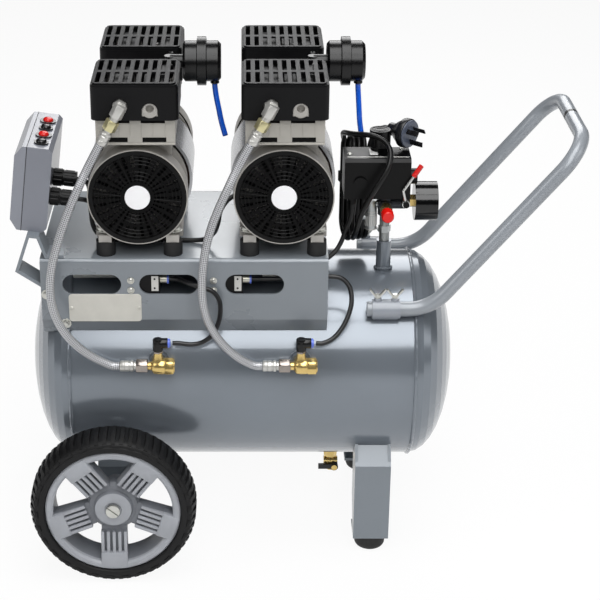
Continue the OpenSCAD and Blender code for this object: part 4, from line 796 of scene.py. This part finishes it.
SLEEVE = [(61.45, 89.6), (62.1, 89.6), (62.1, 115.1), (61.7, 115.6), (60.6, 115.6), (60.6, 115.35),
          (61.45, 115.35)]
sleeves, bolts = [], []
for x in unit_xs:
    for side in (-1, 1):
        sleeves.append(turned(SLEEVE, at(x, 0, SHAFT_Z), (0, side, 0), 96, ring=True))
        for bolt_x in (x - 46.5, x + 46.5):
            spot = at(bolt_x, 100.4 * side, 457.8)
            bolts.append(rod(spot, spot + mm(0, 0, 0.9), 7.4, 28, 0.2))
            bolts.append(bolt_head(spot, Z, 5.8, 5))
dress(sleeves, "fan_housings", casting, "cast_alloy")
dress(bolts, "base_bolts", zinc, "zinc_steel")

# The cooling jacket in front of each cylinder is a cast wall with windows and upright ribs.
# A thin black sheet behind the windows is painted shade for the space there.
WALLS = ((-47.5, 48.2, 577.8, 581), (-47.5, -36.8, 580.9, 587.4), (-9.2, 8.6, 580.9, 587.4),
         (37.4, 48.2, 580.9, 587.4), (-47.5, 48.2, 587.3, 605.2), (-47.5, -21.3, 605.1, 610.2),
         (-6.3, 6.9, 605.1, 610.2), (36.2, 48.2, 605.1, 610.2))
RIBS = ((-44, 48.2, 577.9, 580.2, 123.2),
        *[(rib - 0.6, rib + 0.6, 588.5, 604.5, 122.9) for rib in (-19, -5.75, 7.5, 21.3, 36.2)])
jacket, shadow = [], []
for x in unit_xs:
    for side in (-1, 1):
        for left, right, low, high in WALLS:
            jacket.append(block(at(x + left, 121.05 * side, low), at(x + right, 122.3 * side, high)))
        for left, right, low, high, out in RIBS:
            jacket.append(block(at(x + left, 122.2 * side, low), at(x + right, out * side, high), 0.3, 1))
        shadow.append(block(at(x - 38, 120.9 * side, 579.5), at(x + 38.5, 121.2 * side, 609.5)))
jacket_metal = finish("jacket_casting", (172, 169, 162), 0.42, metal=0.2, drift=0.05, patch=45, grain=1500,
                      relief=0.30)
# A near-black matte finish that is painted shade, for the jacket windows and the solenoid plate holes.
painted_shade_black = finish("dark_inside", (12, 12, 12), 0.9, drift=0.3, shine=0.2)
dress(jacket, "cylinder_jackets", jacket_metal, "cast_alloy")
dress(shadow, "jacket_openings", painted_shade_black, "dark_alloy")
# Long tie screws run through lugs along each shell.
ties = []
for x in unit_xs:
    for angle in (-35, 35, 145, -145):
        for side in (-1, 1):
            tie = rod(mm(0, 44 * side, 68.8), mm(0, 49 * side, 68.8), 3, 16, 0.5)
            ties.append(moved(tie, turn(angle, "Y", at(x, 0, SHAFT_Z))))
dress(ties, "shell_screws", zinc, "zinc_steel")

# ---- head covers
# Louvred covers moulded in black nylon with a fine spark-eroded surface. The front is bare.
cover_black = finish("cover_nylon", (15, 15, 17), 0.50, drift=0.10, patch=30, grain=2400, relief=0.30,
                     shine=0.2)
# The top face is painted a lighter grey: a painted highlight from the overhead light.
region(cover_black, (30, 30, 32), 0.5, 0.0, (Z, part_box("head_covers")[1].z - 0.0005))
give(cover_black, "head_covers")

# ---- fan guards
# Cups with slots between spokes; thin rings tie the spokes, and a bare pale disc fills the
# plain middle.
give(finish("guard_nylon", (9, 9, 10), 0.34, drift=0.10, patch=30, grain=1800, relief=0.12, shine=0.1),
     "fan_guards")
GUARD_EDGE = [(54.8, -0.4), (55.2, 0.7), (59.8, 0.5), (60.2, -0.4)]
DISC = [(0, -0.2), (15.5, -0.2), (15.7, 0.6), (15.2, 1.2), (0, 1.2)]
rings, discs = [], []
for x in unit_xs:
    for side in (-1, 1):
        face, axis = at(x, 115.3 * side, SHAFT_Z), (0, side, 0)
        for r in (23.5, 28.5, 33.5, 43.5, 48, 52.5):
            profile = [(r - 0.5, -2.2), (r + 0.5, -2.2), (r + 0.5, 0.2), (r, 0.6), (r - 0.5, 0.2)]
            rings.append(turned(profile, face, axis, 72, ring=True))
        inner, outer = (-0.2, 0.6) if side > 0 else (-0.6, 0.2)
        rib = block(mm(20, inner, -0.5), mm(54, outer, 0.5), 0.2, 1)
        rings += ring_of(rib, 6, "Y", face, 6)
        rings.append(turned(GUARD_EDGE, face, axis, 96, ring=True))
        discs.append(turned(DISC, face, axis, 64))
dress(rings, "guard_rings", finish("guard_gloss", (8, 8, 9), 0.36, drift=0.08, patch=40, shine=0.2),
      "black_plastic")
dress(discs, "guard_discs", finish("disc_foil", (250, 250, 252), 0.45, drift=0.01, patch=60, relief=0.04),
      "zinc_steel")

# ---- air filters
# Black glossy canisters in two halves with a raised joint ring.
filter_black = finish("filter_nylon", (9, 9, 11), 0.27, drift=0.10, patch=30, grain=900, relief=0.05,
                      shine=0.36)
give(filter_black, "air_filters")

# ---- hose fittings
# At each front head a plated nut and a swivel elbow, a brass union and the crimped sleeve of
# the hose. A plain pipe joins the rear head to the front one inside the covers.
BRASS = (219, 190, 122)
nickel = finish("nickel_plate", (198, 197, 193), 0.36, metal=0.7, drift=0.04, patch=30, relief=0.02)
brass = finish("brass", BRASS, 0.26, metal=0.85, drift=0.05, patch=40, relief=0.03)
pale_brass = finish("pale_brass", (212, 204, 160), 0.30, metal=0.8, drift=0.08, patch=80, relief=0.08)
CRIMP = [(5, 32.6), (6.8, 32.6), (7.3, 33.4), (7.3, 35.6), (6.3, 36.4), (6.3, 37.2), (6.9, 38),
         (6.9, 42.4), (6.5, 43), (6.9, 43.6), (6.9, 47.8), (6.3, 48.9), (5, 48.9)]
away = mm(-math.cos(math.radians(62)), 0, -math.sin(math.radians(62)))
elbows, unions = [], []
for x in unit_xs:
    joint = at(x - 17, -141, 628.8)
    elbows += [rod(at(x - 17, -129.8, 628.8), at(x - 17, -139, 628.8), 9, 6, 0.6),
               rod(at(x - 17, -100, 628.8), at(x - 17, -130, 628.8), 6),
               rod(joint - away * 6, joint + away * 11.2, 8.4, 6, 0.9),
               rod(joint, joint + away * 34, 5.4),
               turned(CRIMP, joint, away, 40, ring=True),
               rod(at(x - 17, -51, 628.8), at(x - 17, 51, 628.8), 5)]
    unions.append(rod(joint + away * 15.8, joint + away * 29, 8.6, 6, 0.8))
dress(elbows, "hose_elbows", nickel, "brass", "hose_fittings")
dress(unions, "hose_unions", pale_brass, "brass")

# ---- check valves
# Forged brass bodies screwed into the tank, with a union nut and the hose's sleeve on one
# side and a push-in elbow for the unloader tube on top.
BARREL = [(0, -15), (5.2, -15), (5.6, -9), (8.4, -7.2), (10.4, -4.6), (10.9, 6), (10, 8.8), (0, 8.8)]
BARREL_END = [(0, 19), (8.8, 19), (8.4, 20.6), (0, 21)]
NECK = [(0, 0), (7.4, 8), (6, 12), (5.2, 19.2), (0, 19.2)]
NECK_NUT = [(0, 19), (6, 19), (6.4, 19.6), (6.4, 21.2), (5.8, 21.8), (0, 21.8)]
FERRULE = [(5, -48.3), (6.4, -48.3), (7, -47.4), (7, -43), (6.5, -42.4), (7, -41.8), (7, -37.2),
           (6.3, -36.4), (6.3, -35.6), (7.4, -34.6), (7.4, -31.8), (5.6, -30.8), (5.6, -27.6), (5, -27.6)]
COLLAR = [(3.1, 12.5), (6, 12.5), (6, 14.6), (4.8, 15), (4.8, 15.8), (3.1, 15.8)]
bodies, nuts, ferrules, elbows, collars = [], [], [], [], []
for x in (-106.5, 73.5):
    middle = at(x, -147.5, 292)
    bodies += [turned(BARREL, middle, X, 48),
               rod(at(x + 8, -147.5, 292), at(x + 19.5, -147.5, 292), 11.4, 8, 1.2),
               turned(BARREL_END, middle, X, 40),
               rod(at(x, -119.5, 292), middle, 6.4),
               rod(at(x, -137.1, 292), at(x, -142, 292), 9.6, 6, 0.8),
               turned(NECK, middle, Z, 40)]
    nuts += [rod(at(x - 28, -147.5, 292), at(x - 13.2, -147.5, 292), 9.8, 6, 1),
             turned(NECK_NUT, middle, Z, 6)]
    elbows += [rod(at(x, -147.5, 313.5), at(x, -147.5, 330.2), 6.4, 40, 1.6),
               rod(at(x - 5, -147.5, 324), at(x + 12.8, -147.5, 324), 6.5, 40, 1.2)]
    ferrules.append(turned(FERRULE, middle, X, 40, ring=True))
    collars.append(turned(COLLAR, at(x, -147.5, 324), X, 40, ring=True))
dark_nickel = finish("dark_nickel", (150, 142, 136), 0.2, metal=0.9, drift=0.10, patch=70, relief=0.06)
collar_blue = finish("collar_blue", (96, 118, 214), 0.3, drift=0.06)
dress(bodies, "valve_bodies", brass, "brass", "check_valves")
dress(nuts, "valve_nuts", dark_nickel, "brass")
dress(ferrules, "valve_ferrules", nickel, "brass")
dress(elbows, "valve_elbows", filter_black, "black_plastic")
dress(collars, "valve_collars", collar_blue, "blue_hose")

# ---- solenoids and capacitors
# Under the saddle, behind its slots: two moulded solenoid valves on plates, and the two white
# run capacitors.
coil_black = finish("coil_resin", (14, 14, 15), 0.45, drift=0.12, shine=0.2)
for left, right in ((-104, -84), (0.1, 20)):
    region(coil_black, (206, 204, 190), 0.3, 0.7, (X, at(left, 0, 0).x), ((-1, 0, 0), -at(right, 0, 0).x))
give(coil_black, "solenoid_valves")
RELEASE = [(3.1, -1.2), (6.2, -1.2), (6.2, 1), (3.1, 1)]
plates, holes, rings = [], [], []
for x in (-94, 10):
    plates.append(block(at(x - 20.5, -118.3, 382.5), at(x - 11.5, -117.45, 403.0), 1))
    for z in (386.5, 399):
        # Each hole is a thin black disc on the plate's face: painted shade.
        holes.append(rod(at(x - 16.4, -118.38, z), at(x - 16.4, -118.2, z), 1.3, 20))
    rings.append(turned(RELEASE, at(x, -106, 394), X, 32, ring=True))
dress(plates, "solenoid_plates", nickel, "zinc_steel")
dress(holes, "solenoid_holes", painted_shade_black, "black_plastic")
dress(rings, "solenoid_collars", collar_blue, "blue_hose")
give(finish("capacitor_case", (222, 222, 216), 0.42, drift=0.04), "run_capacitors")

# ---- riser and manifold
# A galvanised riser in the tank's socket carries a cast block. From it go the outlet coupler
# with its sleeve, the gauge's brass nipple and the brass safety valve.
give(finish("manifold_iron", (58, 62, 68), 0.44, metal=0.45, drift=0.15, patch=90, grain=1300,
            relief=0.45), "manifold")
plated = finish("plated_pipe", (176, 180, 180), 0.34, metal=0.75, drift=0.10, patch=110, relief=0.15)
region(plated, BRASS, 0.27, 0.85, (FRONT, 0.0386))
region(plated, BRASS, 0.27, 0.85, (X, at(208, 0, 0).x - 0.00005))
give(plated, "pipe_fittings")
THREAD = [(6, -0.6), (6.65, 0), (6, 0.6)]
threads = [turned(THREAD, at(183, -28, z), Z, 28, ring=True)
           for k in range(9) for z in (415.8 + 1.25 * k, 437.6 + 1.4 * k)]
dress(threads, "riser_threads", plated, "zinc_steel")
knurl = block(mm(-0.6, 7.2, 0), mm(0.6, 8, 13.5), 0.2, 1)
knurls = ring_of(knurl, 20, "Z", at(165, -28, 436))
for z, r in ((431.4, 7.8), (451.6, 8), (455, 8)):
    profile = [(7, -0.9), (r, -0.6), (r, 0.6), (7, 0.9)]
    knurls.append(turned(profile, at(165, -28, z), Z, 40, ring=True))
dress(knurls, "coupler_grip", nickel, "zinc_steel")

# ---- pressure switch
# A black moulded cover on a base plate, held by screws from above, with a dished lift-up knob
# and a blank white label. A bright edge runs along the front of its top.
give(finish("switch_cover", (8, 8, 9), 0.36, drift=0.10, patch=40, grain=1500, relief=0.12, shine=0.2),
     "pressure_switch")
trim = block(at(131, -48.6, 535.3), at(209.4, -47.9, 535.8), 0.2, 1)
dress(trim, "switch_trim", nickel, "zinc_steel")
label = block(at(160.5, -40.5, 535.45), at(170.5, -18, 535.75))
dress(label, "switch_label", finish("label_white", (228, 228, 226), 0.5, drift=0.03), "black_plastic")
cover_screws = [dome(at(x, y, 535.4), Z, 3.4, 1.6) for x, y in ((135, -36), (202, -18))]
dress(cover_screws, "switch_screws", zinc, "zinc_steel")
knob_black = finish("knob_black", (14, 14, 15), 0.30, drift=0.08, patch=60, shine=0.3)
KNOB = [(0, 540), (12.7, 540), (13.4, 540.8), (12.8, 547), (12.8, 556), (13.5, 561), (13.1, 562.6),
        (12, 563), (10.8, 562.8), (10, 562.2), (7, 562), (6.4, 562.4), (0, 562.4)]
foot = middle_of("on_off_knob")
foot.z = 0
grip = block(mm(-0.9, 12.2, 542), mm(0.9, 13.4, 560), 0.4, 1)
knob = [turned(KNOB, foot, Z, 56), *ring_of(grip, 18, "Z", foot),
        rod(foot + mm(0, 0, 515.6), foot + mm(0, 0, 541), 5)]
dress(knob, "lift_knob", knob_black, "black_plastic", "on_off_knob", body="on_off_knob")

# ---- gauge
# A steel-cased gauge that faces the handle: white dial with plain ticks and numbers to 12,
# a red needle and a flat glass lens in a black bezel.
gauge_case = finish("gauge_case", (12, 12, 13), 0.15, drift=0.08, patch=60, relief=0.04)
give(gauge_case, "pressure_gauge")
give(button_red, "gauge_needle")
gauge_face = middle_of("pressure_gauge")
gauge_face.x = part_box("pressure_gauge")[1].x
dial_place = gauge_face - mm(8.9, 0, 0)
SWEEP, NUMBERS_R = 270, 13.8
DIAL = [(1.3, 0), (22.9, 0), (22.9, 0.4), (1.3, 0.4)]
dial = turned(DIAL, dial_place, X, 64, ring=True)
dress(dial, "gauge_dial", finish("dial_white", (236, 236, 232), 0.5, drift=0.02), "gloss_black")
marks = []
for k in range(25):
    half, start = (0.4, 17.2) if k % 4 == 0 else (0.2, 19)
    mark = block(mm(0.3, -half, start), mm(0.55, half, 21))
    marks.append(moved(mark, turn(SWEEP / 2 - SWEEP * k / 24, "X", dial_place)))
for k in range(7):
    alone()
    bpy.ops.object.text_add(location=(0, 0, 0))
    figure = bpy.context.object.data
    figure.body = str(2 * k)
    figure.size = 0.0042
    figure.extrude = 0.0001
    figure.align_x = "CENTER"
    figure.align_y = "CENTER"
    bpy.ops.object.convert(target="MESH")
    angle = math.radians(SWEEP / 2 - SWEEP * k / 6)
    spot = dial_place + mm(0.45, -NUMBERS_R * math.sin(angle), NUMBERS_R * math.cos(angle))
    marks.append(moved(bpy.context.object, turn(90, "Z", spot) @ turn(90, "X")))
dress(marks, "gauge_marks", finish("dial_ink", (26, 26, 26), 0.5, drift=0.05), "gloss_black")
glass = bpy.data.materials.new("gauge_glass")
glass.use_nodes = True
pane = glass.node_tree.nodes["Principled BSDF"]
for socket, value in (("Base Color", (1, 1, 1, 1)), ("Roughness", 0.03), ("Transmission Weight", 1.0),
                      ("IOR", 1.45)):
    pane.inputs[socket].default_value = value
smear = glass.node_tree.nodes.new("ShaderNodeBump")
smear.inputs["Strength"].default_value = 0.01
glass.node_tree.links.new(noise(glass, 80, 2), smear.inputs["Height"])
glass.node_tree.links.new(smear.outputs["Normal"], pane.inputs["Normal"])
lens_disc = rod(gauge_face - mm(2.2, 0, 0), gauge_face - mm(0.8, 0, 0), 22.9, 64, 0.3)
dress(lens_disc, "gauge_lens", glass, "gloss_black")
BEZEL = [(22.2, -0.6), (25, -3), (25, -0.4), (24.2, 0), (22.8, 0)]
dress(turned(BEZEL, gauge_face, X, 72, ring=True), "gauge_bezel", gauge_case, "gloss_black")

# ---- safety knob and lever
# The red pull knob of the safety valve, and the bent wire lever with its red sleeve.
safety_red = finish("safety_red", (222, 26, 18), 0.3, drift=0.06)
PULL = [(0, 0), (6.2, 0), (7.4, 1), (8, 3), (8, 6.8), (7.1, 8), (7.1, 9.2), (7.9, 10.4), (7.9, 14.8),
        (7.2, 15.7), (2.5, 15.7), (2.5, 27), (0, 27)]
pull_end = middle_of("safety_knob")
pull_end.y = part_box("safety_knob")[0].y
dress(turned(PULL, pull_end, Y, 48), "safety_pull", safety_red, "red_plastic", "safety_knob",
      body="safety_knob")
wire = finish("lever_wire", (204, 204, 202), 0.22, metal=0.9, drift=0.05)
bend, tip = at(202, -62, 495), at(223.5, -62, 529)
way = (tip - bend).normalized()
region(wire, (208, 30, 26), 0.36, 0.0, (tuple(way), tip.dot(way) - 0.01702))
give(wire, "valve_lever")

# ---- drain
# A brass drain cock under the tank with a black lever.
give(brass, "drain_valve")
give(finish("drain_lever_nylon", (28, 28, 28), 0.4, drift=0.12), "drain_lever")

# ---- studio
# A pale floor that keeps the shadow, five soft lamps, and a dim grey surround past the floor.


def looked_at(owner):
    """1 where the lens looks: straight, at a reflection, or through glass."""
    ray = owner.node_tree.nodes.new("ShaderNodeLightPath").outputs
    seen = number(owner, "ADD", ray["Is Camera Ray"], ray["Is Glossy Ray"])
    seen = number(owner, "ADD", seen, ray["Is Transmission Ray"])
    return number(owner, "MINIMUM", seen, 1.0)


bpy.ops.mesh.primitive_plane_add(size=14, location=(0, 0, 0))
floor = bpy.context.object
floor.name = "floor"
paper = bpy.data.materials.new("pale_paper")
paper.use_nodes = True
nodes, links = paper.node_tree.nodes, paper.node_tree.links
nodes["Principled BSDF"].inputs["Base Color"].default_value = (0.94, 0.94, 0.94, 1)
nodes["Principled BSDF"].inputs["Roughness"].default_value = 0.85
white = nodes.new("ShaderNodeEmission")
white.inputs["Strength"].default_value = 1.0
blend = nodes.new("ShaderNodeMixShader")
links.new(number(paper, "MULTIPLY", looked_at(paper), 0.93), blend.inputs["Fac"])
links.new(nodes["Principled BSDF"].outputs["BSDF"], blend.inputs[1])
links.new(white.outputs["Emission"], blend.inputs[2])
links.new(blend.outputs["Shader"], nodes["Material Output"].inputs["Surface"])
floor.data.materials.append(paper)

sky = bpy.data.worlds.new("studio")
bpy.context.scene.world = sky
sky.use_nodes = True
strength = sky.node_tree.nodes["Background"].inputs["Strength"]
sky.node_tree.links.new(number(sky, "MAXIMUM", looked_at(sky), 0.20), strength)

for name, place, size, power in (
        ("top_lamp", (0.10, -0.6, 2.7), 1.6, 44), ("front_lamp", (0.10, -1.95, 2.1), 1.3, 27),
        ("key_lamp", (-1.9, -1.2, 1.6), 1.1, 10), ("fill_lamp", (2.1, -1.0, 1.4), 1.3, 10),
        ("back_lamp", (0.2, 1.9, 1.8), 1.4, 26)):
    bpy.ops.object.light_add(type="AREA", location=place)
    lamp = bpy.context.object
    lamp.name = name
    lamp.rotation_euler = (Vector(place) - mm(0, 0, 350)).to_track_quat("Z", "Y").to_euler()
    lamp.data.size = size
    lamp.data.energy = power

bpy.context.scene.view_settings.view_transform = "Standard"
